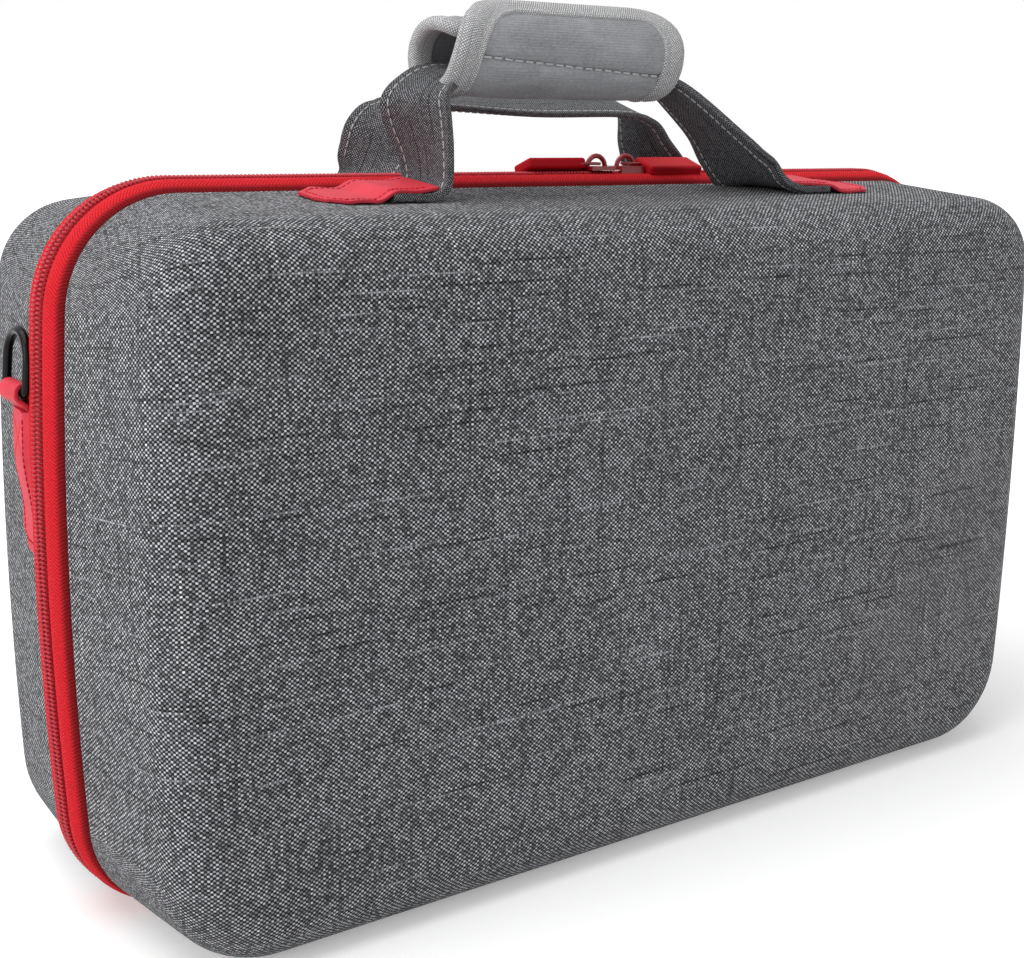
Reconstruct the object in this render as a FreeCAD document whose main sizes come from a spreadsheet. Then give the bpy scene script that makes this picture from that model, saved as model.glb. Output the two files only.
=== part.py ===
import FreeCAD, Part
import math
import os
import re
import Sketcher
from FreeCAD import Placement, Rotation, Vector

# Console storage case: two moulded shells hinged with cloth along the base and closed by a coil zip.
# The front half looks towards -Y, +Z is up, and the case stands on z = 0, centred on x = y = 0.
# Both halves are built away from the parting plane y = 0, the rear one towards +Y.

SIZES = {
    # Whole case, measured over the zip
    "case_width": 405.0,
    "case_height": 237.5,
    "half_depth": 73.0,
    "draft": 8.0,
    "corner_top": 43.0,
    "corner_bottom": 36.0,
    "face_corner_top": 24.0,
    "face_corner_bottom": 35.0,
    "side_radius": 1200.0,
    "face_side_radius": 1800.0,
    "edge_round": 19.0,
    "wall": 5.0,
    "base_trim": 0.3,
    "rim_offset": 12.0,
    # Zip chain and tape
    "zip_proud": 3.3,
    "zip_lift": 1.2,
    "zip_end": 150.0,
    "coil_half": 3.4,
    "coil_gap": 0.6,
    "coil_drop": 1.6,
    "coil_depth": 3.0,
    "tape_thick": 1.2,
    # Cloth hinge
    "hinge_thick": 1.5,
    "hinge_clear": 0.3,
    # Zip sliders and their pulls
    "slider_length": 11.0,
    "slider_half_width": 4.8,
    "slider_plate": 1.4,
    "slider_clear": 0.4,
    "slider_web": 0.6,
    "slider_web_length": 4.0,
    "flange_thick": 0.8,
    "slider_left_x": 15.3,
    "slider_right_x": 29.4,
    "bail_radius": 4.2,
    "bail_wire": 0.9,
    "link_wire": 0.55,
    "link_side_wire": 0.5,
    "link_half_width": 1.7,
    "link_reach": 9.0,
    "pull_start": 6.0,
    "pull_length": 26.0,
    "pull_width": 10.6,
    "pull_thick": 4.0,
    "pull_round": 1.2,
    "pull_tilt": 20.0,
    "pull_overhang": 2.6,
    # Handle straps
    "strap_width": 27.0,
    "strap_thick": 2.2,
    "strap_seat": 0.4,
    "strap_y": 28.0,
    "strap_tail": 30.0,
    "front_leg_left": 77.0,
    "front_leg_right": 75.0,
    "rear_leg_left": 73.0,
    "rear_leg_right": 74.0,
    "rear_rise": 31.5,
    "fold_width": 15.0,
    "fold_thick": 4.4,
    # Grip wrap on the front handle
    "grip_length": 97.0,
    "grip_x": -26.5,
    "grip_y": 26.0,
    "grip_rise": 43.5,
    "grip_bore": 10.5,
    "grip_wall": 2.5,
    "closure_thick": 0.5,
    "closure_margin": 12.0,
    "closure_room": 1.6,
    "lip_angle": 50.0,
    "flap_short": 8.0,
    "binding_width": 9.0,
    "binding_thick": 0.8,
    # Leather-look patches over the strap ends
    "patch_width": 26.6,
    "patch_shift": 0.6,
    "patch_thick": 1.5,
    "patch_lap": 21.5,
    "patch_toe": 22.0,
    "patch_chamfer": 8.0,
    # Shoulder-strap rings and their tabs
    "ring_y": 16.2,
    "ring_z": 172.0,
    "ring_width": 20.5,
    "ring_height": 20.0,
    "ring_wire": 1.5,
    "ring_lean": 5.0,
    "ring_corner": 2.2,
    "ring_clear": 0.3,
    "tab_width": 14.0,
    "tab_thick": 1.2,
    "tab_tail": 30.0,
    "ring_patch_width": 17.6,
    "ring_patch_thick": 1.4,
    "ring_patch_drop": 6.0,
    "ring_patch_length": 46.0,
    "ring_patch_chamfer": 6.0,
    # Foam tray in the rear half
    "fit_clear": 0.4,
    "tray_recess": 3.0,
    "tray_bevel": 14.0,
    "console_bay_width": 290.0,
    "console_bay_height": 104.0,
    "console_bay_depth": 34.0,
    "console_bay_z": 22.0,
    "small_bay_width": 88.0,
    "small_bay_height": 68.0,
    "small_bay_depth": 40.0,
    "small_bay_z": 144.0,
    "small_bay_pitch": 104.0,
    "bay_round": 10.0,
    # Mesh pocket in the front half
    "pocket_recess": 4.0,
    "pocket_height": 150.0,
    "mesh_thick": 1.2,
    "hem_height": 11.0,
    "hem_thick": 2.6,
}

doc = FreeCAD.newDocument("ConsoleCase")
sheet = doc.addObject("Spreadsheet::Sheet", "Sizes")
for row, (alias, number) in enumerate(SIZES.items(), start=1):
    sheet.set(f"A{row}", alias)
    sheet.set(f"B{row}", str(number))
    sheet.setAlias(f"B{row}", alias)
doc.recompute()

subparts = []
FRONT, REAR = -1, 1
LEFT, RIGHT = -1, 1


def size(name):
    """The value of one driving dimension."""
    return float(sheet.get(name))


def number(expression):
    """The value of an expression of driving dimensions."""
    return float(sheet.evalExpression(expression))


def of_sizes(text):
    """An expression of driving dimensions, with each name looked up in the sheet."""
    return re.sub(r"[a-z_]\w*", lambda word: f"Sizes.{word[0]}" if word[0] in SIZES else word[0], text)


def bind(target, path, text):
    target.setExpression(path, of_sizes(text))


def keep(shape_object, label):
    """Registers a finished sub-part under the name of its file."""
    shape_object.Label = label
    subparts.append(shape_object)
    return shape_object


def keep_shape(label, shape):
    """A sub-part whose form only a direct construction gives."""
    feature = doc.addObject("Part::Feature", label)
    feature.Shape = shape
    return keep(feature, label)


def new_body(label):
    return doc.addObject("PartDesign::Body", label)


def attach(sketch, body, role, offset="0"):
    """Places a sketch on one of its body's origin planes, moved along the plane's normal."""
    plane = next(item for item in body.Origin.OriginFeatures if item.Role == role)
    sketch.AttachmentSupport = [(plane, "")]
    sketch.MapMode = "FlatFace"
    bind(sketch, "AttachmentOffset.Base.z", offset)


def constrain(sketch, name, kind, value, *points):
    """A named dimension that follows its expression."""
    index = sketch.addConstraint(Sketcher.Constraint(kind, *points, number(of_sizes(value))))
    sketch.renameConstraint(index, name)
    bind(sketch, f"Constraints.{name}", value)


def shell_section(depth, more="0"):
    """The case's rounded outline at a distance from the parting plane, inset further by more."""
    inset = f"( zip_proud + draft * ( {depth} ) / half_depth + {more} )"
    share = f"( {depth} ) / half_depth"
    return {
        "half_width": f"case_width / 2 - {inset}",
        "top": f"case_height - {inset}",
        "bottom": f"{more} - base_trim",
        "round_top": f"corner_top - zip_proud + ( face_corner_top + zip_proud - corner_top ) * {share} - {more}",
        "round_bottom": f"corner_bottom + ( face_corner_bottom - corner_bottom ) * {share} - {more}",
        "round_side": f"side_radius + ( face_side_radius - side_radius ) * {share} - {more}",
    }


def zip_section(inset):
    """The zip's own outline, which stands proud of both shells and clears the base."""
    return {
        "half_width": f"case_width / 2 - {inset}",
        "top": f"case_height - {inset}",
        "bottom": f"zip_lift + {inset}",
        "round_top": f"corner_top - {inset}",
        "round_bottom": f"corner_bottom - {inset}",
        "round_side": f"side_radius - {inset}",
    }


def outline_sketch(body, name, side, depth, section):
    """Bowed sides, straight top and base, and tangent corner arcs, parallel to the parting plane."""
    sketch = body.newObject("Sketcher::SketchObject", name)
    attach(sketch, body, "XZ_Plane", f"-1 * {side} * ( {depth} )")
    value = {key: number(of_sizes(text)) for key, text in section.items()}
    middle = (value["top"] + value["bottom"]) / 2
    side_x = value["half_width"] - value["round_side"]

    def corner(radius, height):
        reach = value["round_side"] - radius
        angle = math.asin((height - middle) / reach)
        return side_x + reach * math.cos(angle), height, radius, angle

    top_x, top_z, top_radius, top_angle = corner(value["round_top"], value["top"] - value["round_top"])
    low_x, low_z, low_radius, low_angle = corner(value["round_bottom"], value["bottom"] + value["round_bottom"])

    def arc(x, z, radius, start, stop):
        sketch.addGeometry(Part.ArcOfCircle(Part.Circle(Vector(x, z, 0), Vector(0, 0, 1), radius), start, stop))

    def line(x_from, x_to, z):
        sketch.addGeometry(Part.LineSegment(Vector(x_from, z, 0), Vector(x_to, z, 0)))

    quarter, half = math.pi / 2, math.pi
    arc(side_x, middle, value["round_side"], low_angle, top_angle)
    arc(top_x, top_z, top_radius, top_angle, quarter)
    line(top_x, -top_x, value["top"])
    arc(-top_x, top_z, top_radius, quarter, half - top_angle)
    arc(-side_x, middle, value["round_side"], half - top_angle, half - low_angle)
    arc(-low_x, low_z, low_radius, half - low_angle, 3 * quarter)
    line(-low_x, low_x, value["bottom"])
    arc(low_x, low_z, low_radius, 3 * quarter, 2 * half + low_angle)

    for index in range(8):
        sketch.addConstraint(Sketcher.Constraint("Tangent", index, 2, (index + 1) % 8, 1))
    sketch.addConstraint(Sketcher.Constraint("Horizontal", 2))
    sketch.addConstraint(Sketcher.Constraint("Horizontal", 6))
    center_height = f"( {section['top']} + {section['bottom']} ) / 2"
    center_width = f"( {section['half_width']} ) - ( {section['round_side']} )"
    constrain(sketch, "side_right", "Radius", section["round_side"], 0)
    constrain(sketch, "side_left", "Radius", section["round_side"], 4)
    constrain(sketch, "top_right", "Radius", section["round_top"], 1)
    constrain(sketch, "top_left", "Radius", section["round_top"], 3)
    constrain(sketch, "low_left", "Radius", section["round_bottom"], 5)
    constrain(sketch, "low_right", "Radius", section["round_bottom"], 7)
    constrain(sketch, "right_x", "DistanceX", center_width, 0, 3)
    constrain(sketch, "right_z", "DistanceY", center_height, 0, 3)
    constrain(sketch, "left_x", "DistanceX", f"-1 * ( {center_width} )", 4, 3)
    constrain(sketch, "left_z", "DistanceY", center_height, 4, 3)
    constrain(sketch, "top", "DistanceY", section["top"], 2, 1)
    constrain(sketch, "bottom", "DistanceY", section["bottom"], 6, 1)
    return sketch


def polygon_sketch(body, name, role, offset, points):
    """A closed outline of straight edges whose corners are expressions."""
    sketch = body.newObject("Sketcher::SketchObject", name)
    attach(sketch, body, role, offset)
    corners = [Vector(number(of_sizes(x)), number(of_sizes(y)), 0) for x, y in points]
    count = len(points)
    for index in range(count):
        sketch.addGeometry(Part.LineSegment(corners[index], corners[(index + 1) % count]))
    for index in range(count):
        sketch.addConstraint(Sketcher.Constraint("Coincident", index, 2, (index + 1) % count, 1))
    for index, (x, y) in enumerate(points):
        constrain(sketch, f"x{index}_", "DistanceX", x, index, 1)
        constrain(sketch, f"y{index}_", "DistanceY", y, index, 1)
    return sketch


def rectangle(x_low, x_high, z_low, z_high):
    return [(x_low, z_low), (x_high, z_low), (x_high, z_high), (x_low, z_high)]


def loft(body, kind, name, side, sections):
    """Joins outlines at several depths with straight walls."""
    sketches = [
        outline_sketch(body, f"{name}_{index}", side, depth, section)
        for index, (depth, section) in enumerate(sections)
    ]
    feature = body.newObject(f"PartDesign::{kind}Loft", name)
    feature.Profile = sketches[0]
    feature.Sections = sketches[1:]
    feature.Ruled = True
    doc.recompute()
    return feature


def cut_through(body, name, points):
    """Removes a prism along Y from a body that lies on one side of the parting plane."""
    sketch = polygon_sketch(body, f"{name}_outline", "XZ_Plane", "0", points)
    before = body.Shape.Volume
    pocket = body.newObject("PartDesign::Pocket", name)
    pocket.Profile = sketch
    pocket.Type = "ThroughAll"
    pocket.Midplane = True
    doc.recompute()
    if pocket.Shape.Volume >= before:
        raise RuntimeError(f"{name} removed nothing")
    return pocket


def edges_in_plane(shape, depth):
    """Names of the edges that lie at one distance from the parting plane."""
    names = []
    for index, edge in enumerate(shape.Edges, start=1):
        box = edge.BoundBox
        if abs(abs(box.YMin) - depth) < 1e-4 and abs(abs(box.YMax) - depth) < 1e-4:
            names.append(f"Edge{index}")
    return names


def fillet(body, name, base, depth, radius):
    feature = body.newObject("PartDesign::Fillet", name)
    feature.Base = (base, edges_in_plane(base.Shape, depth))
    bind(feature, "Radius", radius)
    doc.recompute()
    return feature


def shell(label, side):
    """One moulded half: drafted walls, a rounded face and an open rim by the zip."""
    body = new_body(label)
    outer = loft(body, "Additive", f"{label}_outer", side, [
        ("rim_offset", shell_section("rim_offset")),
        ("half_depth", shell_section("half_depth")),
    ])
    inner = loft(body, "Subtractive", f"{label}_inner", side, [
        ("rim_offset - wall", shell_section("rim_offset - wall", "wall")),
        ("half_depth - wall", shell_section("half_depth - wall", "wall")),
    ])
    hollow = fillet(body, f"{label}_inner_edge", inner, size("half_depth") - size("wall"), "edge_round - wall")
    fillet(body, f"{label}_edge", hollow, size("half_depth"), "edge_round")
    cut_through(body, f"{label}_base", rectangle("-1 * case_width", "case_width", "-1 * wall", "0"))
    keep(body, label)
    return outer


def zip_tape(label, side):
    """Woven tape from the coil down to the shell's rim, left out along the hinge."""
    body = new_body(label)
    walls = []
    for kind, more in (("Additive", "0"), ("Subtractive", "tape_thick")):
        rim = shell_section("rim_offset", more)
        rim["bottom"] = f"zip_lift / 4 + {more}"
        walls.append(loft(body, kind, f"{label}_{kind.lower()}", side, [
            ("coil_half", zip_section(f"( coil_drop + {more} )")),
            ("rim_offset", rim),
        ]))
    cut_through(body, f"{label}_end", rectangle("-1 * zip_end", "zip_end", "-1 * wall", "corner_bottom / 2"))
    keep(body, label)
    return walls[0]


def zip_coil(label, side):
    """One half of the closed chain, rounded over its back, beside the middle line."""
    body = new_body(label)
    middle = "( coil_half + coil_gap ) / 2"
    loft(body, "Additive", f"{label}_back", side, [
        ("coil_gap", zip_section("0")),
        (middle, zip_section("coil_drop / 4")),
        ("coil_half", zip_section("coil_drop")),
    ])
    loft(body, "Subtractive", f"{label}_under", side, [
        ("coil_gap", zip_section("coil_depth")),
        ("coil_half", zip_section("coil_depth")),
    ])
    cut_through(body, f"{label}_end", rectangle("-1 * zip_end", "zip_end", "-1 * wall", "corner_bottom / 2"))
    return keep(body, label)


def hinge_strip():
    """Cloth strip that joins the two rims along the base, between the ends of the zip."""
    body = new_body("hinge_strip")
    sketch = polygon_sketch(body, "hinge_outline", "YZ_Plane", "0", rectangle(
        "hinge_clear - rim_offset", "rim_offset", "hinge_clear", "hinge_clear + hinge_thick"))
    pad = body.newObject("PartDesign::Pad", "hinge_pad")
    pad.Profile = sketch
    pad.Midplane = True
    bind(pad, "Length", "2 * ( zip_end - hinge_clear )")
    return keep(body, "hinge_strip")


def block(name, low, high):
    """A plain block between two corners given as expressions."""
    box = doc.addObject("Part::Box", name)
    for axis, prop, start, stop in zip("xyz", ("Length", "Width", "Height"), low, high):
        bind(box, prop, f"( {stop} ) - ( {start} )")
        bind(box, f"Placement.Base.{axis}", start)
    return box


def fused(label, pieces):
    union = doc.addObject("Part::MultiFuse", label)
    union.Shapes = pieces
    union.Refine = True
    return keep(union, label)


PLATE_BASE = "( case_height + slider_clear )"
PLATE_TOP = f"( {PLATE_BASE} + slider_plate )"
BAIL_CENTER = f"( {PLATE_TOP} - bail_wire / 2 )"
PIVOT_HEIGHT = f"( {PLATE_TOP} + slider_clear + link_wire )"


def zip_slider(label, x_name, half):
    """Two plates joined by a web that runs between the coils, with a bail on top.

    The flange is on the half that carries the slider, so that the other coil can leave when the lid opens."""
    start, stop = f"{x_name} - slider_length / 2", f"{x_name} + slider_length / 2"
    floor = "( case_height - coil_depth - 1.5 * slider_clear )"
    top = block(f"{label}_top", (start, "-1 * slider_half_width", PLATE_BASE),
                (stop, "slider_half_width", PLATE_TOP))
    under = block(f"{label}_under", (start, "slider_clear / 2 - coil_half", f"{floor} - slider_plate"),
                  (stop, "coil_half - slider_clear / 2", floor))
    web = block(f"{label}_web", (f"{x_name} - slider_web_length / 2", "-0.5 * slider_web", f"{floor} - slider_plate"),
                (f"{x_name} + slider_web_length / 2", "0.5 * slider_web", PLATE_TOP))
    outside, inside = "slider_half_width", "slider_half_width - flange_thick"
    near, far = (inside, outside) if half == REAR else (f"-1 * {outside}", f"-1 * ( {inside} )")
    flange = block(f"{label}_flange", (start, near, "case_height - coil_drop + slider_clear"), (stop, far, PLATE_TOP))
    bail = doc.addObject("Part::Torus", f"{label}_bail")
    bind(bail, "Radius1", "bail_radius")
    bind(bail, "Radius2", "bail_wire")
    bail.Angle3 = 180
    bail.Placement = Placement(Vector(), Rotation(Vector(1, 0, 0), 90))
    bind(bail, "Placement.Base.x", x_name)
    bind(bail, "Placement.Base.z", BAIL_CENTER)
    return fused(label, [top, under, web, flange, bail])


def rod(name, radius, length, axis, base):
    """A round bar along X or Y from a point given as expressions."""
    bar = doc.addObject("Part::Cylinder", name)
    bind(bar, "Radius", radius)
    bind(bar, "Height", length)
    turn = Rotation(Vector(0, 0, 1), Vector(1, 0, 0) if axis == "x" else Vector(0, 1, 0))
    bar.Placement = Placement(Vector(), turn)
    for letter, text in zip("xyz", base):
        bind(bar, f"Placement.Base.{letter}", text)
    return bar


def pull_link(label, x_name, side):
    """Wire loop through the bail, with both ends set in the pull."""
    start = x_name if side == RIGHT else f"{x_name} - link_reach"
    bar = rod(f"{label}_bar", "link_wire", "2 * ( link_half_width + link_wire )", "y",
              (x_name, "-1 * ( link_half_width + link_wire )", PIVOT_HEIGHT))
    sides = [
        rod(f"{label}_side{index}", "link_side_wire", "link_reach", "x",
            (start, f"{sign} * link_half_width", PIVOT_HEIGHT))
        for index, sign in enumerate((-1, 1))
    ]
    return fused(label, [bar] + sides)


def pull_tab(label, x_name, side, half, link):
    """Moulded pull that leans over the zip to its own half, rounded all round, with sockets for the link's ends."""
    box = doc.addObject("Part::Box", f"{label}_block")
    bind(box, "Length", "pull_length")
    bind(box, "Width", "pull_width")
    bind(box, "Height", "pull_thick")
    near = f"{x_name} + pull_start" if side == RIGHT else f"{x_name} - pull_start - pull_length"
    bind(box, "Placement.Base.x", near)
    box.Placement.Rotation = Rotation(Vector(-half, 0, 0), 1)
    bind(box, "Placement.Rotation.Angle", "pull_tilt * 1 deg")
    high = f"{PLATE_BASE} + ( pull_overhang + coil_gap ) * tan(pull_tilt * 1 deg)"
    if half == REAR:
        bind(box, "Placement.Base.y", "-1 * pull_overhang")
        bind(box, "Placement.Base.z", high)
    else:
        bind(box, "Placement.Base.y", "pull_overhang - pull_width * cos(pull_tilt * 1 deg)")
        bind(box, "Placement.Base.z", f"{high} - pull_width * sin(pull_tilt * 1 deg)")
    doc.recompute()
    rounded = doc.addObject("Part::Fillet", f"{label}_round")
    rounded.Base = box
    radius = size("pull_round")
    rounded.Edges = [(index, radius, radius) for index in range(1, 13)]
    doc.recompute()
    cut = doc.addObject("Part::Cut", label)
    cut.Base = rounded
    cut.Tool = link
    return keep(cut, label)


def top_height(y):
    """Height of a shell's drafted top at a distance from the parting plane."""
    return size("case_height") - size("zip_proud") - size("draft") * abs(y) / size("half_depth")


def resample(stations, steps=4):
    """Points between hand-placed stations on a smooth curve through all of them."""
    smooth = []
    last = len(stations) - 1
    for index in range(last):
        before, start, stop, after = (stations[max(0, min(last, index + shift))] for shift in (-1, 0, 1, 2))
        for step in range(steps):
            u = step / steps
            smooth.append([
                0.5 * (2 * b + (c - a) * u + (2 * a - 5 * b + 4 * c - d) * u ** 2 + (3 * b - a - 3 * c + d) * u ** 3)
                for a, b, c, d in zip(before, start, stop, after)
            ])
    smooth.append(list(stations[last]))
    return smooth


def strap_solid(stations):
    """Folded cloth strap through stations of x, y, z, width, thickness, yaw and roll."""
    path = resample(stations)
    centers = [Vector(*station[:3]) for station in path]
    wires = []
    for index, (x, y, z, width, thick, yaw, roll) in enumerate(path):
        along = centers[min(index + 1, len(path) - 1)] - centers[max(index - 1, 0)]
        across = Vector(math.sin(yaw) * math.cos(roll), math.cos(yaw) * math.cos(roll), math.sin(roll))
        normal = along.cross(across).normalize()
        across = normal.cross(along).normalize()
        wide, deep = across * (width / 2), normal * (thick / 2)
        center = centers[index]
        corners = [center + wide + deep, center - wide + deep, center - wide - deep, center + wide - deep]
        wires.append(Part.makePolygon(corners + corners[:1]))
    return Part.makeLoft(wires, True, True)


def strap_base(side, x, lift=0.0):
    """A station of a strap's end, flat on the drafted top."""
    slope = math.atan2(size("draft"), size("half_depth"))
    raised = size("strap_thick") / 2 + size("strap_seat") + lift
    y = size("strap_y")
    return (x, side * y, top_height(y) + raised / math.cos(slope),
            size("strap_width"), size("strap_thick"), 0.0, -side * slope)


def handle_front():
    """Front strap: up beside the grip, through it folded in two, and down with a twist."""
    base = top_height(size("strap_y"))
    left, right = -size("front_leg_left"), size("front_leg_right")
    tail = size("strap_tail")
    wide, thin = size("strap_width"), size("strap_thick")
    y = -size("strap_y")
    grip_y = -size("grip_y")
    run = base + size("grip_rise") - 3.6
    grip_start = size("grip_x") - size("grip_length") / 2
    grip_stop = size("grip_x") + size("grip_length") / 2
    fold = (size("fold_width"), size("fold_thick"), 0.0, 0.0)
    stations = [
        strap_base(FRONT, left - tail),
        strap_base(FRONT, left - 14),
        strap_base(FRONT, left - 8),
        (left - 1.2, y, base + 4.5, wide, thin, 0.0, 0.06),
        (left - 1.8, y, base + 14, wide, thin, -0.1, 0.0),
        (left - 5.0, y, base + 25, wide, thin, -0.35, 0.0),
        (left - 6.8, y, base + 33, wide - 3, thin, -0.4, 0.0),
        (left - 3.8, y + 1.5, run - 1.4, wide - 7, thin, -0.25, 0.0),
        (grip_start + 1, grip_y, run - 0.2, size("fold_width") + 1, thin + 1.4, 0.0, 0.0),
        (grip_start + 8, grip_y, run) + fold,
        (size("grip_x"), grip_y, run) + fold,
        (grip_stop - 8, grip_y, run) + fold,
        (grip_stop + 1, grip_y, run - 0.6, size("fold_width"), thin + 1.2, -0.1, 0.0),
        (grip_stop + 11, y + 1, run - 10, wide - 3, thin, -0.3, 0.0),
        (right - 11, y, base + 16, wide, thin, -0.5, 0.0),
        (right - 1, y, base + 5.5, wide, thin, -0.35, 0.05),
        strap_base(FRONT, right + 8),
        strap_base(FRONT, right + 14),
        strap_base(FRONT, right + tail),
    ]
    return keep_shape("handle_strap_front", strap_solid(stations))


def handle_rear():
    """Rear strap: an arch that hangs lower than the grip, with its run rolled forward."""
    base = top_height(size("strap_y"))
    left, right = -size("rear_leg_left"), size("rear_leg_right")
    tail = size("strap_tail")
    wide, thin = size("strap_width"), size("strap_thick")
    y = size("strap_y")
    run = base + size("rear_rise")
    stations = [
        strap_base(REAR, left - tail),
        strap_base(REAR, left - 14),
        strap_base(REAR, left - 8),
        (left - 1.0, y, base + 4.5, wide, thin, 0.0, -0.06),
        (left + 1.5, y, base + 15, wide, thin, 0.0, 0.0),
        (left + 6.5, y, run - 4.5, wide, thin, 0.0, 0.1),
        (left + 17, y, run + 3.0, wide, thin, 0.0, 0.3),
        (left + 33, y, run + 2.5, wide, thin, 0.0, 0.5),
        (0.0, y, run, wide, thin, 0.0, 0.45),
        (right - 29, y, run - 0.5, wide, thin, 0.0, 0.3),
        (right - 15, y, run - 4.5, wide, thin, 0.2, 0.15),
        (right - 6, y, base + 14, wide, thin, 0.3, 0.0),
        (right + 0.5, y, base + 4.5, wide, thin, 0.15, -0.05),
        strap_base(REAR, right + 8),
        strap_base(REAR, right + 14),
        strap_base(REAR, right + tail),
    ]
    return keep_shape("handle_strap_rear", strap_solid(stations))


def polar(center, radius, degrees):
    """A point of the grip's cross-section, in the YZ plane."""
    angle = math.radians(degrees)
    return Vector(0, center[0] + radius * math.cos(angle), center[1] + radius * math.sin(angle))


def arc_edge(center, radius, start, stop):
    return Part.Arc(polar(center, radius, start), polar(center, radius, (start + stop) / 2),
                    polar(center, radius, stop)).toShape()


def band(arcs, thick):
    """Cross-section of a layer that follows arcs of centre, inner radius, start and stop angle."""
    inner = [arc_edge(center, radius, start, stop) for center, radius, start, stop in arcs]
    outer = [arc_edge(center, radius + thick, stop, start) for center, radius, start, stop in reversed(arcs)]
    first, last = arcs[0], arcs[-1]
    end = Part.LineSegment(polar(last[0], last[1], last[3]), polar(last[0], last[1] + thick, last[3])).toShape()
    begin = Part.LineSegment(polar(first[0], first[1] + thick, first[2]), polar(first[0], first[1], first[2])).toShape()
    return Part.Face(Part.Wire(inner + [end] + outer + [begin]))


def along_x(face, start, length):
    solid = face.extrude(Vector(length, 0, 0))
    solid.translate(Vector(start, 0, 0))
    return solid


def grip():
    """Padded wrap round the front strap: over the back, under, and up the front to close on its own lip."""
    wall, closure = size("grip_wall"), size("closure_thick")
    middle = (-size("grip_y"), top_height(size("strap_y")) + size("grip_rise"))
    shift = (wall + size("closure_room")) / 2
    raised = (middle[0], middle[1] + shift)
    bore = size("grip_bore")
    front_bore = bore + shift
    top, under = 90, 270
    lip = top + size("lip_angle")
    flap_edge = top + size("flap_short")
    start = size("grip_x") - size("grip_length") / 2
    length = size("grip_length")
    inner = (middle, bore, lip, -top)
    outer = (raised, front_bore, under, flap_edge)
    keep_shape("grip_wrap", along_x(band([inner, outer], wall), start, length))

    margin = size("closure_margin")
    inside = start + margin
    run = length - 2 * margin
    seat = bore + wall
    for label, radius in (("grip_loop_strip", seat), ("grip_hook_strip", seat + closure)):
        strip = (middle, radius, lip - 10, flap_edge + 2)
        keep_shape(label, along_x(band([strip], closure), inside, run))

    thick, width = size("binding_thick"), size("binding_width")
    over_back = (middle, bore + wall, top, -top)
    over_front = (raised, front_bore + wall, under, flap_edge)
    ends = band([over_back, over_front], thick)
    edge_start = flap_edge + math.degrees(width / (front_bore + wall))
    edge = band([(raised, front_bore + wall, edge_start, flap_edge)], thick)
    pieces = [along_x(ends, start, width), along_x(ends, start + length - width, width),
              along_x(edge, start + width / 2, length - width)]
    keep_shape("grip_binding", pieces[0].multiFuse(pieces[1:]).removeSplitter())


def strap_patch(label, half, side, leg_name):
    """Patch over a strap's end: it lies on the strap, steps down past it and lies on the shell."""
    body = new_body(label)
    lift = "( strap_seat + strap_thick + strap_seat )"
    step = f"( {leg_name} + strap_tail + strap_seat )"
    toe = f"( {leg_name} + strap_tail + patch_toe )"
    root = f"( {leg_name} + strap_tail - patch_lap )"
    profile = [
        (root, lift), (step, lift), (f"{step} + patch_thick", "0"), (toe, "0"),
        (toe, "patch_thick"), (f"{step} + 2 * patch_thick", "patch_thick"),
        (f"{step} + patch_thick / 2", f"{lift} + patch_thick"), (root, f"{lift} + patch_thick"),
    ]
    sketch = polygon_sketch(body, f"{label}_profile", "XZ_Plane", "0", [(f"{side} * ( {x} )", z) for x, z in profile])
    pad = body.newObject("PartDesign::Pad", f"{label}_pad")
    pad.Profile = sketch
    pad.Midplane = True
    bind(pad, "Length", "patch_width")
    doc.recompute()
    far = side * number(of_sizes(toe))
    corners = [
        f"Edge{index}" for index, edge in enumerate(pad.Shape.Edges, start=1)
        if abs(edge.BoundBox.XMin - far) < 1e-4 and abs(edge.BoundBox.XMax - far) < 1e-4
        and edge.BoundBox.ZLength > size("patch_thick") / 2
    ]
    chamfer = body.newObject("PartDesign::Chamfer", f"{label}_chamfer")
    chamfer.Base = (pad, corners)
    bind(chamfer, "Size", "patch_chamfer")
    body.Placement = Placement(Vector(), Rotation(Vector(-half, 0, 0), 1))
    bind(body, "Placement.Rotation.Angle", "atan(draft / half_depth)")
    bind(body, "Placement.Base.y", f"{half} * ( strap_y + patch_shift )")
    bind(body, "Placement.Base.z", "case_height - zip_proud - draft * ( strap_y + patch_shift ) / half_depth")
    return keep(body, label)


def side_surface(y, z):
    """Distance of the rear half's side from the middle plane, on its tape or on its shell."""

    def arc(inset, side_radius, middle):
        return size("case_width") / 2 - inset - side_radius + math.sqrt(side_radius ** 2 - (z - middle) ** 2)

    def shell_side(depth):
        share = depth / size("half_depth")
        inset = size("zip_proud") + size("draft") * share
        bow = size("side_radius") + (size("face_side_radius") - size("side_radius")) * share
        return arc(inset, bow, (size("case_height") - inset - size("base_trim")) / 2)

    rim, coil = size("rim_offset"), size("coil_half")
    if y >= rim:
        return shell_side(y)
    drop = size("coil_drop")
    crest = arc(drop, size("side_radius") - drop, (size("case_height") + size("zip_lift")) / 2)
    return crest + (shell_side(rim) - crest) * (y - coil) / (rim - coil)


def ring_axis_x():
    """Distance of a ring's bar from the middle plane: its fold and its leaning leg both clear the tape."""
    clear = size("ring_clear")
    wire = size("ring_wire")
    low = size("ring_z")
    fold = side_surface(size("ring_y") - size("tab_width") / 2, low) + wire + clear + size("tab_thick")
    height = size("ring_height") - size("ring_width") / 2
    leg = side_surface(size("ring_y") - size("ring_width") / 2, low + height) + wire
    return max(fold, leg + height * math.tan(math.radians(size("ring_lean")))) + clear


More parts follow.
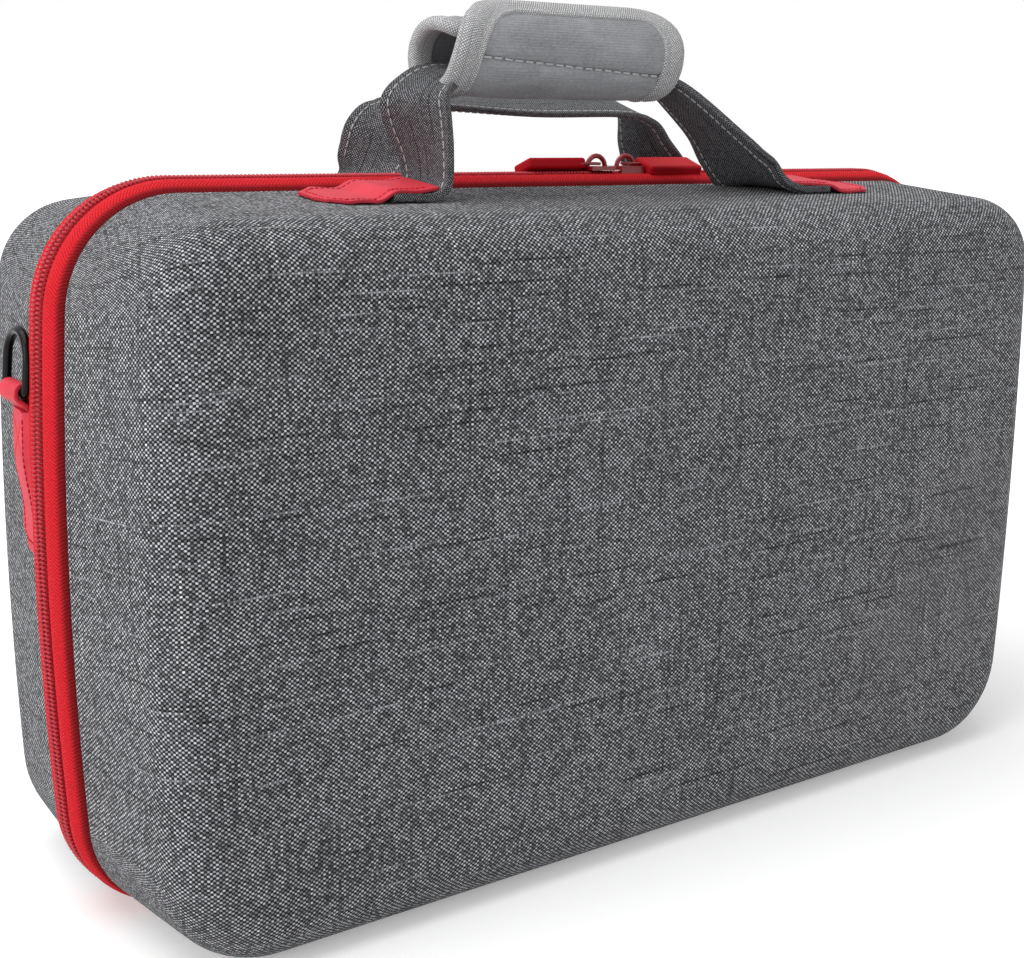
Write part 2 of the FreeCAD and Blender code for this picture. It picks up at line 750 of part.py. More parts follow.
def d_ring(label, side):
    """Bent-wire ring with a straight bar, standing up from its tab and leaning on the shell."""
    wire = size("ring_wire")
    half = size("ring_width") / 2 - wire
    corner = size("ring_corner")
    low = size("ring_z")
    top = low + size("ring_height") - wire
    y = size("ring_y")
    x = side * ring_axis_x()
    shoulder = top - half

    def at(dy, z):
        return Vector(x, y + dy, z)

    slant = corner * (1 - math.sqrt(0.5))
    edges = [
        Part.LineSegment(at(corner - half, low), at(half - corner, low)),
        Part.Arc(at(half - corner, low), at(half - slant, low + slant), at(half, low + corner)),
        Part.LineSegment(at(half, low + corner), at(half, shoulder)),
        Part.Arc(at(half, shoulder), at(0, top), at(-half, shoulder)),
        Part.LineSegment(at(-half, shoulder), at(-half, low + corner)),
        Part.Arc(at(-half, low + corner), at(slant - half, low + slant), at(corner - half, low)),
    ]
    path = Part.Wire([edge.toShape() for edge in edges])
    profile = Part.Wire([Part.makeCircle(wire, at(corner - half, low), Vector(0, 1, 0))])
    ring = path.makePipeShell([profile], True, True)
    ring.rotate(at(0, low), Vector(0, 1, 0), -side * size("ring_lean"))
    return keep_shape(label, ring)


def raised_copy(rear_half, side, rise):
    """The rear half's outer form moved out sideways, to bound a layer that lies on its side."""
    copy = rear_half.copy()
    copy.translate(Vector(side * rise, 0, 0))
    return copy


def ring_tab(label, patch_label, side, rear_half):
    """Strip folded round the ring's bar, its tail sewn to the shell under a chamfered patch."""
    x, y, low = ring_axis_x(), size("ring_y"), size("ring_z")
    thick, width, gap = size("tab_thick"), size("tab_width"), size("fit_clear")
    inner = size("ring_wire") + size("ring_clear")
    outer = inner + thick
    tail = low - size("tab_tail")
    patch_top = low - size("ring_patch_drop")
    depth = size("ring_patch_thick")
    face = side_surface(y, patch_top) - x + 2 * thick
    deep = 2 * outer + thick

    def prism(plan):
        points = [Vector(side * (x - deep), y + dy, z) for dy, z in plan]
        return Part.Face(Part.makePolygon(points + points[:1])).extrude(Vector(side * 2 * deep, 0, 0))

    def panel(half_width, z_low, z_high):
        return prism([(-half_width, z_low), (half_width, z_low), (half_width, z_high), (-half_width, z_high)])

    def at(dx, z):
        return Vector(side * (x + dx), y - width / 2, z)

    fold = [
        Part.LineSegment(at(-deep, patch_top), at(face, patch_top)).toShape(),
        Part.LineSegment(at(face, patch_top), at(outer, low - outer / 2)).toShape(),
        Part.LineSegment(at(outer, low - outer / 2), at(outer, low)).toShape(),
        Part.Arc(at(outer, low), at(0, low + outer), at(-outer, low)).toShape(),
        Part.LineSegment(at(-outer, low), at(-deep, low - outer)).toShape(),
        Part.LineSegment(at(-deep, low - outer), at(-deep, patch_top)).toShape(),
    ]
    loop = Part.Face(Part.Wire(fold)).extrude(Vector(0, width, 0))
    eye = Part.makeCylinder(inner, width, at(0, low), Vector(0, 1, 0))
    sewn = panel(width / 2, tail, patch_top).common(raised_copy(rear_half, side, 2 * thick))
    keep_shape(label, loop.cut(eye).fuse(sewn).cut(rear_half).removeSplitter())

    chamfer = size("ring_patch_chamfer")
    bottom = patch_top - size("ring_patch_length")
    edge = size("ring_patch_width") / 2
    plan = [(-edge, patch_top), (edge, patch_top), (edge, bottom + chamfer), (edge - chamfer, bottom),
            (chamfer - edge, bottom), (-edge, bottom + chamfer)]
    cover = width / 2 + gap + depth
    flat = prism(plan).common(raised_copy(rear_half, side, depth))
    bulge = panel(cover, tail - gap - depth, patch_top)
    bulge = bulge.common(raised_copy(rear_half, side, 2 * thick + gap + depth))
    room = panel(width / 2 + gap, tail - gap, patch_top + gap)
    room = room.common(raised_copy(rear_half, side, 2 * thick + gap))
    keep_shape(patch_label, flat.fuse(bulge).cut(room).cut(rear_half).removeSplitter())


def foam_tray():
    """Loose foam insert of the rear half, with bays for a console and small pieces."""
    body = new_body("foam_tray")
    more = "( wall + fit_clear )"
    face = "half_depth - wall - fit_clear"
    shoulder = f"{face} - tray_bevel"
    loft(body, "Additive", "tray_block", REAR, [
        ("rim_offset + tray_recess", shell_section("rim_offset + tray_recess", more)),
        (shoulder, shell_section(shoulder, more)),
        (face, shell_section(face, f"( {more} + tray_bevel )")),
    ])
    bays = [("console_bay", "0", "console_bay_width", "console_bay_z", "console_bay_height", "console_bay_depth")]
    for index, name in enumerate(("left_bay", "middle_bay", "right_bay")):
        bays.append((name, f"{index - 1} * small_bay_pitch", "small_bay_width", "small_bay_z",
                     "small_bay_height", "small_bay_depth"))
    for name, x, width, z, height, depth in bays:
        points = rectangle(f"{x} - {width} / 2", f"{x} + {width} / 2", z, f"{z} + {height}")
        sketch = polygon_sketch(body, f"{name}_outline", "XZ_Plane", "-1 * ( rim_offset + tray_recess )", points)
        before = body.Shape.Volume
        pocket = body.newObject("PartDesign::Pocket", name)
        pocket.Profile = sketch
        pocket.Reversed = False
        bind(pocket, "Length", depth)
        doc.recompute()
        if pocket.Shape.isNull() or pocket.Shape.Volume >= before:
            pocket.Reversed = True
            doc.recompute()
        uprights = [
            f"Edge{index}" for index, edge in enumerate(pocket.Shape.Edges, start=1)
            if abs(edge.BoundBox.YLength - number(of_sizes(depth))) < 1e-4
            and abs(abs(edge.BoundBox.XMin - number(of_sizes(x))) - number(of_sizes(width)) / 2) < 1e-4
            and edge.BoundBox.XLength < 1e-4 and edge.BoundBox.ZLength < 1e-4
            and number(of_sizes(z)) - 1 < edge.BoundBox.ZMin < number(of_sizes(f"{z} + {height}")) + 1
        ]
        rounding = body.newObject("PartDesign::Fillet", f"{name}_round")
        rounding.Base = (pocket, uprights)
        bind(rounding, "Radius", "bay_round")
        doc.recompute()
    return keep(body, "foam_tray")


def mesh_pocket():
    """Mesh panel across the lower part of the front half, with an elastic hem along its top."""
    panel = new_body("mesh_pocket")
    near, more = "rim_offset + pocket_recess", "( wall + fit_clear )"
    far = f"{near} + mesh_thick"
    loft(panel, "Additive", "mesh_panel", FRONT, [
        (near, shell_section(near, more)), (far, shell_section(far, more)),
    ])
    cut_through(panel, "mesh_top", rectangle("-1 * case_width", "case_width", "pocket_height", "2 * case_height"))
    keep(panel, "mesh_pocket")
    hem_depth = f"{near} + mesh_thick / 2 + hem_thick / 2"
    hem = new_body("pocket_hem")
    loft(hem, "Additive", "hem_panel", FRONT, [
        (f"{hem_depth} - hem_thick", shell_section(f"{hem_depth} - hem_thick", more)),
        (hem_depth, shell_section(hem_depth, more)),
    ])
    cut_through(hem, "hem_low", rectangle("-1 * case_width", "case_width", "-1 * case_height", "pocket_height"))
    cut_through(hem, "hem_high", rectangle("-1 * case_width", "case_width", "pocket_height + hem_height",
                                           "2 * case_height"))
    keep(hem, "pocket_hem")


rear_outer = shell("rear_shell", REAR)
shell("front_shell", FRONT)
hinge_strip()
rear_tape_outer = zip_tape("zip_tape_rear", REAR)
zip_tape("zip_tape_front", FRONT)
zip_coil("zip_coil_rear", REAR)
zip_coil("zip_coil_front", FRONT)

for hand, direction, half_side in (("left", LEFT, REAR), ("right", RIGHT, FRONT)):
    place = f"slider_{hand}_x"
    zip_slider(f"zip_slider_{hand}", place, half_side)
    wire_link = pull_link(f"pull_link_{hand}", place, direction)
    pull_tab(f"pull_tab_{hand}", place, direction, half_side, wire_link)

handle_front()
handle_rear()
grip()
for half_name, half_side in (("front", FRONT), ("rear", REAR)):
    for hand, direction in (("left", LEFT), ("right", RIGHT)):
        strap_patch(f"strap_patch_{half_name}_{hand}", half_side, direction, f"{half_name}_leg_{hand}")

rear_form = rear_outer.Shape.fuse(rear_tape_outer.Shape)
for hand, direction in (("left", LEFT), ("right", RIGHT)):
    d_ring(f"d_ring_{hand}", direction)
    ring_tab(f"ring_tab_{hand}", f"ring_patch_{hand}", direction, rear_form)

foam_tray()
mesh_pocket()

doc.recompute()
for item in doc.Objects:
    if "Invalid" in item.State or "Error" in item.State:
        raise RuntimeError(f"{item.Name} did not build: {item.State}")
for part in subparts:
    if part.Shape.isNull() or not part.Shape.isValid():
        raise RuntimeError(f"{part.Label} has no valid shape")

os.makedirs("parts", exist_ok=True)
for part in subparts:
    part.Shape.exportStep(f"parts/{part.Label}.step")
print(len(subparts), "sub-parts written")
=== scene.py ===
import math

import bpy
from bpy.props import FloatProperty, FloatVectorProperty, PointerProperty
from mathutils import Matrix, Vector


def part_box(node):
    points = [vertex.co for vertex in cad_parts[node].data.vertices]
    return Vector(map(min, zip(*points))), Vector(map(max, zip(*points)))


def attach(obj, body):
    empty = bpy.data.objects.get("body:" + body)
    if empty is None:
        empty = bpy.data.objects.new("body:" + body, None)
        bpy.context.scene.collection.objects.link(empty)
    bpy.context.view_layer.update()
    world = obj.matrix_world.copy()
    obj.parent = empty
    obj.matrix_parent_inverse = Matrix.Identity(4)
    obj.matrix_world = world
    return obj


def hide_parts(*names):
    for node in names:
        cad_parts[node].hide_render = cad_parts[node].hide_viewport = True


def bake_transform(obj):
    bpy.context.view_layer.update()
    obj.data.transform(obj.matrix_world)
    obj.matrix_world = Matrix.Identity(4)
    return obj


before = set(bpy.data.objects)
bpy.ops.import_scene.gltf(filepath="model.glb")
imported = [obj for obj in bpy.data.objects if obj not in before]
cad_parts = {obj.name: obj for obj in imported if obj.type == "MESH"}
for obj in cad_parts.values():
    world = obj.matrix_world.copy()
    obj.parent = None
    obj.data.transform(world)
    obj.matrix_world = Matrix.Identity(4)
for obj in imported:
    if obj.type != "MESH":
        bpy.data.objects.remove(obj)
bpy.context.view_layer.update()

bl_info = {
    "name": "Console storage case",
    "version": (1, 0, 0),
    "blender": (4, 5, 0),
    "location": "View3D > Sidebar > Case",
    "description": "Builds the cloth, zip, straps and fittings of a storage case round its packed model",
    "category": "Add Mesh",
}

MM = 0.001
FRONT, REAR = -1, 1
LEFT, RIGHT = -1, 1
HALVES = {"rear": REAR, "front": FRONT}
HANDS = {"left": LEFT, "right": RIGHT}
# Points on each stretch of an outline: base, corners, side and top
STRETCH = 16


# Sizes and colours

def linear(hex_code):
    """An sRGB hex colour as linear RGBA."""
    channels = [int(hex_code[i:i + 2], 16) / 255 for i in (1, 3, 5)]
    return tuple(c / 12.92 if c <= 0.04045 else ((c + 0.055) / 1.055) ** 2.4 for c in channels) + (1.0,)


def length(name, millimetres, description):
    return FloatProperty(name=name, description=description, default=millimetres * MM, unit="LENGTH",
                         precision=4)


def colour(name, hex_code, description):
    return FloatVectorProperty(name=name, description=description, default=linear(hex_code), size=4,
                               min=0.0, max=1.0, subtype="COLOR")


class CaseSizes(bpy.types.PropertyGroup):
    """Sizes of the case that its pieces share."""
    width: length("Case width", 405, "Width over the zip")
    height: length("Case height", 237.5, "Height over the zip")
    half_depth: length("Half depth", 73, "Depth of one half from the parting plane to its face")
    draft: length("Draft", 8, "How far the walls lean in from the parting plane to the face")
    corner_top: length("Top corner", 43, "Radius of the upper corners at the zip")
    corner_bottom: length("Bottom corner", 36, "Radius of the lower corners at the zip")
    face_corner_top: length("Face top corner", 24, "Radius of the upper corners at the face")
    face_corner_bottom: length("Face bottom corner", 35, "Radius of the lower corners at the face")
    side_bow: length("Side bow", 1200, "Radius of the bowed sides at the zip")
    face_side_bow: length("Face side bow", 1800, "Radius of the bowed sides at the face")
    edge_round: length("Edge round", 19, "Radius between the walls and the face")
    wall: length("Wall", 5, "Thickness of the moulded foam")
    rim: length("Rim offset", 12, "Distance of the shell's rim from the parting plane")
    zip_proud: length("Zip proud", 3.3, "How far the zip stands out of the shell's line")
    zip_lift: length("Zip lift", 1.2, "Height of the zip's ends over the floor")
    zip_end: length("Zip end", 150, "Distance of the zip's ends from the middle")
    coil_half: length("Coil half width", 3.4, "Width of the coil on one side")
    coil_drop: length("Coil drop", 1.6, "Fall of the coil from its crest to the tape")
    coil_pitch: length("Coil pitch", 1.45, "Distance from one turn of the coil to the next")
    strap_width: length("Strap width", 27, "Width of the handle straps")
    strap_thick: length("Strap thickness", 2.2, "Thickness of the folded straps")
    strap_y: length("Strap place", 28, "Distance of the straps from the parting plane")
    rear_rise: length("Rear rise", 31.5, "Height of the rear strap's run over the case top")
    grip_length: length("Grip length", 97, "Length of the padded wrap")
    grip_x: length("Grip middle", -26.5, "Middle of the padded wrap along the case")
    grip_y: length("Grip place", 26, "Distance of the wrap from the parting plane")
    grip_rise: length("Grip rise", 43.5, "Height of the wrap's middle over the case top")
    grip_inner: length("Grip inner radius", 11.75, "Half width of the wrap's inner turn")
    grip_outer: length("Grip flap radius", 13.8, "Half width of the wrap's turn at its flap")
    grip_wall: length("Grip wall", 2.5, "Thickness of the wrap's foam")
    patch_width: length("Patch width", 26.6, "Width of the patches over the strap ends")
    patch_shift: length("Patch shift", 0.6, "Distance of the patches outward from the straps' middle")
    ring_y: length("Ring place", 16.2, "Distance of the rings from the parting plane")
    ring_z: length("Ring height", 172, "Height of the rings' bars")
    ring_x: length("Ring bar", 201.0259, "Distance of the rings' bars from the middle plane")
    tab_width: length("Tab width", 14, "Width of the folded ring tabs")
    ring_patch_width: length("Ring patch width", 17.6, "Width of the patches under the rings")
    ring_patch_length: length("Ring patch length", 46, "Length of the patches under the rings")


class CaseColours(bpy.types.PropertyGroup):
    """Colours of the case's finishes."""
    warp_dark: colour("Warp dark", "#8A8B8F", "Darkest of the cloth's upright yarns")
    warp_middle: colour("Warp", "#B4B5B9", "Most of the cloth's upright yarns")
    warp_light: colour("Warp light", "#D6D7D9", "Lightest of the cloth's upright yarns")
    weft_dark: colour("Weft dark", "#0E0E10", "Darkest of the cloth's level yarns")
    weft_middle: colour("Weft", "#2C2D30", "Most of the cloth's level yarns")
    weft_light: colour("Weft light", "#8A8B8F", "Light slubs of the cloth's level yarns")
    strap_dark: colour("Strap dark yarn", "#242427", "Dark yarn of the straps")
    strap_middle: colour("Strap yarn", "#4C4D51", "Plain yarn of the straps")
    strap_light: colour("Strap light yarn", "#96979B", "Light yarn of the straps")
    lining: colour("Lining", "#2C2C2F", "Brushed cloth inside the shells")
    tape: colour("Zip tape", "#780610", "Woven tape of the zip")
    tape_light: colour("Zip tape light", "#DA1F2A", "Raised yarn of the zip tape")
    coil: colour("Zip coil", "#C4303C", "Nylon coil of the zip")
    enamel: colour("Slider enamel", "#9A101C", "Painted sliders")
    wire: colour("Link wire", "#8E0F1A", "Painted wire of the pull links")
    pull: colour("Pull", "#B3121F", "Moulded zip pulls")
    wrap: colour("Wrap", "#8F9093", "Knit face of the padded wrap")
    binding_dark: colour("Binding shade", "#8D8E91", "Dark yarn of the tape round the wrap")
    binding: colour("Binding", "#C3C4C6", "Plain yarn of the tape round the wrap")
    binding_light: colour("Binding light", "#E9E9EA", "Light yarn of the tape round the wrap")
    leather: colour("Patch leather", "#DA3345", "Coated patches and ring tabs")
    leather_thread: colour("Patch thread", "#C62D3C", "Matching thread of the patches")
    thread: colour("Thread", "#B9B8B6", "Light sewing thread of straps and wrap")
    ring: colour("Ring", "#070708", "Gloss black wire rings")
    foam: colour("Foam", "#3A3A3D", "Loose foam insert")
    mesh: colour("Mesh", "#2A2A2C", "Knit mesh of the pocket")
    closure: colour("Closure", "#4A4A4D", "Hook and loop strips of the wrap")


def sizes():
    return bpy.context.scene.case_sizes


def colours():
    return bpy.context.scene.case_colours


# Modelling helpers

def only(piece):
    """Selects one piece and nothing else."""
    bpy.ops.object.select_all(action="DESELECT")
    piece.select_set(True)
    bpy.context.view_layer.objects.active = piece


def bent_grid(name, columns, rows, place, flat):
    """A grid whose points are moved to place(u, v), with a UV map of flat(u, v) in metres."""
    bpy.ops.object.select_all(action="DESELECT")
    bpy.ops.mesh.primitive_grid_add(x_subdivisions=columns, y_subdivisions=rows, size=1)
    piece = bpy.context.object
    piece.name = piece.data.name = name
    mesh = piece.data
    spots = [(round((v.co.x + 0.5) * columns) / columns, round((v.co.y + 0.5) * rows) / rows)
             for v in mesh.vertices]
    layer = mesh.uv_layers.active.data
    for loop in mesh.loops:
        layer[loop.index].uv = flat(*spots[loop.vertex_index])
    for vertex, spot in zip(mesh.vertices, spots):
        vertex.co = place(*spot)
    return piece


def edited(piece, *steps):
    """Runs edit-mode steps on all of a piece."""
    only(piece)
    bpy.ops.object.mode_set(mode="EDIT")
    bpy.ops.mesh.select_all(action="SELECT")
    for step in steps:
        step()
    bpy.ops.object.mode_set(mode="OBJECT")


def merge():
    bpy.ops.mesh.remove_doubles(threshold=1e-6)


def outward():
    bpy.ops.mesh.normals_make_consistent(inside=False)


def turn_to(piece, towards):
    """Flips a sheet whose faces, added up, point away from towards(centre)."""
    total = sum(face.normal.dot(Vector(towards(face.center))) * face.area for face in piece.data.polygons)
    if total < 0:
        edited(piece, bpy.ops.mesh.flip_normals)


def modify(piece, kind, **settings):
    """Adds a modifier with its settings and applies it."""
    only(piece)
    modifier = piece.modifiers.new(kind.title(), kind)
    for key, value in settings.items():
        setattr(modifier, key, value)
    bpy.ops.object.modifier_apply(modifier=modifier.name)


def smooth(piece, degrees=60):
    only(piece)
    bpy.ops.object.shade_smooth_by_angle(angle=math.radians(degrees))


def thicken(piece, thickness, offset, edge=0.0):
    """Gives a sheet its thickness, and rounds its edges where edge is given."""
    mesh, count = piece.data, len(piece.data.vertices)
    modify(piece, "SOLIDIFY", thickness=thickness, offset=offset)
    flat = mesh.uv_layers.active.data
    # The weave runs on over the edges, whose lower corners would else have the place of the upper ones
    for face in mesh.polygons:
        upper = [i for i in face.loop_indices if mesh.loops[i].vertex_index < count]
        if len(upper) == 2 and face.loop_total == 4:
            run = flat[upper[1]].uv - flat[upper[0]].uv
            shift = Vector((thickness, 0)) if abs(run.y) > abs(run.x) else Vector((0, thickness))
            for i in face.loop_indices:
                if i not in upper:
                    flat[i].uv += shift
    if edge:
        modify(piece, "BEVEL", width=edge, segments=2, limit_method="ANGLE", angle_limit=math.radians(60))
    edited(piece, outward)
    smooth(piece)


def joined(first, *others):
    """Joins pieces into the first."""
    only(first)
    for other in others:
        other.select_set(True)
    if others:
        bpy.ops.object.join()
    return first


def dress(piece, *names):
    """Gives a piece its finishes in place of any that it has."""
    piece.data.materials.clear()
    for name in names:
        piece.data.materials.append(finish(name))


def fit(piece, body, slot, *nodes):
    """Makes a piece ride on a body and hides the nodes that it stands for; its slot is not used."""
    if body:
        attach(piece, body)
    if nodes:
        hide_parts(*nodes)


def glide(points, steps):
    """Points on a smooth curve through all the given rows of numbers."""
    last = len(points) - 1
    smoothed = []
    for index in range(last):
        rows = [points[max(0, min(last, index + shift))] for shift in (-1, 0, 1, 2)]
        for step in range(steps):
            u = step / steps
            smoothed.append([
                0.5 * (2 * b + (c - a) * u + (2 * a - 5 * b + 4 * c - d) * u ** 2
                       + (3 * b - a - 3 * c + d) * u ** 3)
                for a, b, c, d in zip(*rows)
            ])
    smoothed.append(list(points[last]))
    return smoothed


class Line:
    """A chain of points, with the way up at each, that is read by the distance along it."""

    def __init__(self, points, ups=None):
        self.points = [Vector(p) for p in points]
        self.ups = [Vector(up) for up in ups] if ups else None
        self.marks = [0.0]
        for a, b in zip(self.points, self.points[1:]):
            self.marks.append(self.marks[-1] + (b - a).length)
        self.length = self.marks[-1]
        self.spot = 0

    def share(self, distance):
        """Finds the stretch at a distance and how far along it that is."""
        if distance < self.marks[self.spot]:
            self.spot = 0
        while self.spot < len(self.points) - 2 and self.marks[self.spot + 1] < distance:
            self.spot += 1
        step = self.marks[self.spot + 1] - self.marks[self.spot]
        return (distance - self.marks[self.spot]) / step

    def at(self, distance):
        """The point and the direction at a distance, straight on past either end."""
        share = self.share(distance)
        a, b = self.points[self.spot], self.points[self.spot + 1]
        return a.lerp(b, share), (b - a).normalized()

    def lay(self, along, over, high):
        """The place of a point that lies over to the side of the line and high above it."""
        point, way = self.at(along)
        up = self.ups[self.spot].lerp(self.ups[self.spot + 1], self.share(along))
        up = (up - way * up.dot(way)).normalized()
        return point + way.cross(up) * over + up * high


def repeated(name, size, bevel, pitch, count, lay):
    """A bevelled block, repeated at a pitch and laid along a course by lay(along, over, high)."""
    bpy.ops.object.select_all(action="DESELECT")
    bpy.ops.mesh.primitive_cube_add(size=1)
    piece = bpy.context.object
    piece.name = piece.data.name = name
    edited(piece, lambda: bpy.ops.transform.resize(value=size),
           lambda: bpy.ops.mesh.bevel(offset=bevel, segments=1, affect="EDGES"))
    modify(piece, "ARRAY", count=count, use_relative_offset=False, use_constant_offset=True,
           constant_offset_displace=(pitch, 0, 0))
    for vertex in piece.data.vertices:
        vertex.co = lay(*vertex.co)
    edited(piece, outward)
    smooth(piece)
    return piece


def stitches(name, courses, pitch, thread, body, slot, width=0.55 * MM):
    """Rows of sewing thread that show as dashes along the courses."""
    rows = []
    for course in courses:
        count = int(course.length / pitch)
        rows.append(repeated(name, (0.7 * pitch, width, 0.5 * MM), 0.15 * MM, pitch, count,
                             lambda along, over, high: course.lay(along + pitch / 2, over, high)))
    piece = joined(*rows)
    piece.name = piece.data.name = name
    dress(piece, thread)
    fit(piece, body, slot)


# Outline of the case

def shell_inset(depth):
    """How far a shell's wall lies inside the zip's crest at a distance from the parting plane."""
    s = sizes()
    return s.zip_proud + s.draft * depth / s.half_depth


def shell_section(depth, more=0.0, low=0.0):
    """Half width, top, bottom and radii of the shell's outline, inset by more."""
    s = sizes()
    share = depth / s.half_depth
    inset = shell_inset(depth) + more
    return (
        s.width / 2 - inset, s.height - inset, low,
        s.corner_top - s.zip_proud + (s.face_corner_top + s.zip_proud - s.corner_top) * share - more,
        s.corner_bottom + (s.face_corner_bottom - s.corner_bottom) * share - more,
        s.side_bow + (s.face_side_bow - s.side_bow) * share - more,
    )


def zip_section(inset):
    """The zip's own outline."""
    s = sizes()
    return (s.width / 2 - inset, s.height - inset, s.zip_lift + inset,
            s.corner_top - inset, s.corner_bottom - inset, s.side_bow - inset)


def section_points(section, start=0.0):
    """Points of an outline from the base on the right, over the top, to the base on the left."""
    half_width, top, bottom, round_top, round_bottom, bow = section
    middle = (top + bottom) / 2
    side_x = half_width - bow

    def corner(radius, height):
        """Middle of a corner that runs smoothly into the bowed side, and the angle where they meet."""
        angle = math.asin((height - middle) / (bow - radius))
        return side_x + (bow - radius) * math.cos(angle), height, angle

    top_x, top_z, top_angle = corner(round_top, top - round_top)
    low_x, low_z, low_angle = corner(round_bottom, bottom + round_bottom)

    def arc(x, z, radius, begin, end):
        angles = [begin + (end - begin) * i / STRETCH for i in range(STRETCH)]
        return [(x + radius * math.cos(a), z + radius * math.sin(a)) for a in angles]

    half = [(start + (low_x - start) * i / STRETCH, bottom) for i in range(STRETCH)]
    half += arc(low_x, low_z, round_bottom, -math.pi / 2, low_angle)
    half += arc(side_x, middle, bow, low_angle, top_angle)
    half += arc(top_x, top_z, round_top, top_angle, math.pi / 2)
    half += [(top_x * (1 - i / STRETCH), top) for i in range(STRETCH + 1)]
    return half + [(-x, z) for x, z in reversed(half[:-1])]


def section_ways(points):
    """Outward directions of an outline at its points."""
    last = len(points) - 1
    ways = []
    for i in range(last + 1):
        (x0, z0), (x1, z1) = points[max(i - 1, 0)], points[min(i + 1, last)]
        run = math.hypot(x1 - x0, z1 - z0)
        ways.append(((z1 - z0) / run, (x0 - x1) / run))
    return ways


def width_at(points, z):
    """Half width of an outline at a height."""
    for (x0, z0), (x1, z1) in zip(points, points[1:]):
        if z0 < z1 and z0 <= z <= z1:
            return x0 + (x1 - x0) * (z - z0) / (z1 - z0)
    raise ValueError("the height lies outside the outline")


def mixed(first, second, share, swell=0.0):
    """An outline between two others, swollen outwards."""
    grow = (swell, swell, -swell, swell, swell, swell)
    return tuple(a + (b - a) * share + g for a, b, g in zip(first, second, grow))


def top_height(y):
    """Height of a shell's drafted top at a distance from the parting plane."""
    return sizes().height - shell_inset(abs(y))


def side_surface(y, z):
    """Distance of the case's side from the middle plane, on the tape or on the shell."""
    s = sizes()

    def arc(section):
        half_width, top, bottom, _, _, bow = section
        return half_width - bow + math.sqrt(bow ** 2 - (z - (top + bottom) / 2) ** 2)

    depth = abs(y)
    if depth >= s.rim:
        return arc(shell_section(depth))
    crest = arc(zip_section(s.coil_drop))
    return crest + (arc(shell_section(s.rim)) - crest) * (depth - s.coil_half) / (s.rim - s.coil_half)


# Materials

def feed(tree, node, inputs):
    """Links sockets to a node's inputs, and sets plain values on them."""
    for key, value in inputs.items():
        if isinstance(value, bpy.types.NodeSocket):
            tree.links.new(value, node.inputs[key])
        else:
            node.inputs[key].default_value = value


def put(tree, kind, inputs=None, stops=None, **settings):
    """Adds a node with its settings, links and colour stops, and returns its outputs."""
    node = tree.nodes.new(f"ShaderNode{kind}")
    for key, value in settings.items():
        setattr(node, key, value)
    feed(tree, node, inputs or {})
    for position, tint in stops or []:
        node.color_ramp.elements.new(position).color = tint
    if stops:
        node.color_ramp.elements.remove(node.color_ramp.elements[0])
        node.color_ramp.elements.remove(node.color_ramp.elements[-1])
    return node.outputs


def new_material(name, **inputs):
    """An empty Principled material with plain values on its sockets."""
    material = bpy.data.materials.new(name)
    material.use_nodes = True
    tree = material.node_tree
    shader = tree.nodes["Principled BSDF"]
    feed(tree, shader, {key.replace("_", " "): value for key, value in inputs.items()})
    return material, tree, shader


def darker(tint, share):
    """A colour at a share of its light, or lighter where the share is over 1."""
    return tuple(channel * share for channel in tint[:3]) + (1.0,)


def uv_parts(tree, waver=0.0):
    """The piece's own flat map in metres, and its two directions, with a small waver of the threads."""
    uv = put(tree, "TexCoord")["UV"]
    if waver:
        noise = put(tree, "TexNoise", {"Vector": uv, "Scale": 1 / (3 * MM), "Detail": 1.0},
                    noise_dimensions="2D")["Color"]
        uv = put(tree, "VectorMath", {0: noise, 1: (waver, waver, 0), 2: uv}, operation="MULTIPLY_ADD")[0]
    across, along, _ = put(tree, "SeparateXYZ", {0: uv})
    return uv, across, along


def ridges(tree, across, pitch):
    """Rounded ridges of one set of threads, from 0 in the gaps to 1 on the crests."""
    turn = put(tree, "Math", {0: across, 1: math.pi / pitch}, operation="MULTIPLY")[0]
    wave = put(tree, "Math", {0: turn}, operation="SINE")[0]
    return put(tree, "Math", {0: wave}, operation="ABSOLUTE")[0]


def streaks(tree, uv, across, along):
    """Random streaks of the given sizes in metres."""
    place = put(tree, "Mapping", {0: uv, 3: (1 / across, 1 / along, 1.0)})[0]
    return put(tree, "TexNoise", {"Vector": place, "Scale": 1.0, "Detail": 2.0, "Roughness": 0.6},
               noise_dimensions="2D")["Fac"]


def yarn_tones(tree, across, along, pitch, reach):
    """The number of each thread, and a tone of its own that drifts over about the reach along it."""
    count = put(tree, "Math", {0: across, 1: pitch}, operation="DIVIDE")[0]
    number = put(tree, "Math", {0: count}, operation="FLOOR")[0]
    # Steps that aren't whole numbers give each thread its own place in the noise
    apart = put(tree, "Math", {0: number, 1: 7.37}, operation="MULTIPLY")[0]
    drift = put(tree, "Math", {0: along, 1: reach}, operation="DIVIDE")[0]
    drift = put(tree, "Math", {0: number, 1: 0.618, 2: drift}, operation="MULTIPLY_ADD")[0]
    place = put(tree, "CombineXYZ", {0: apart, 1: drift})[0]
    tone = put(tree, "TexNoise", {"Vector": place, "Scale": 1.0, "Detail": 1.5}, noise_dimensions="2D")["Fac"]
    return number, tone


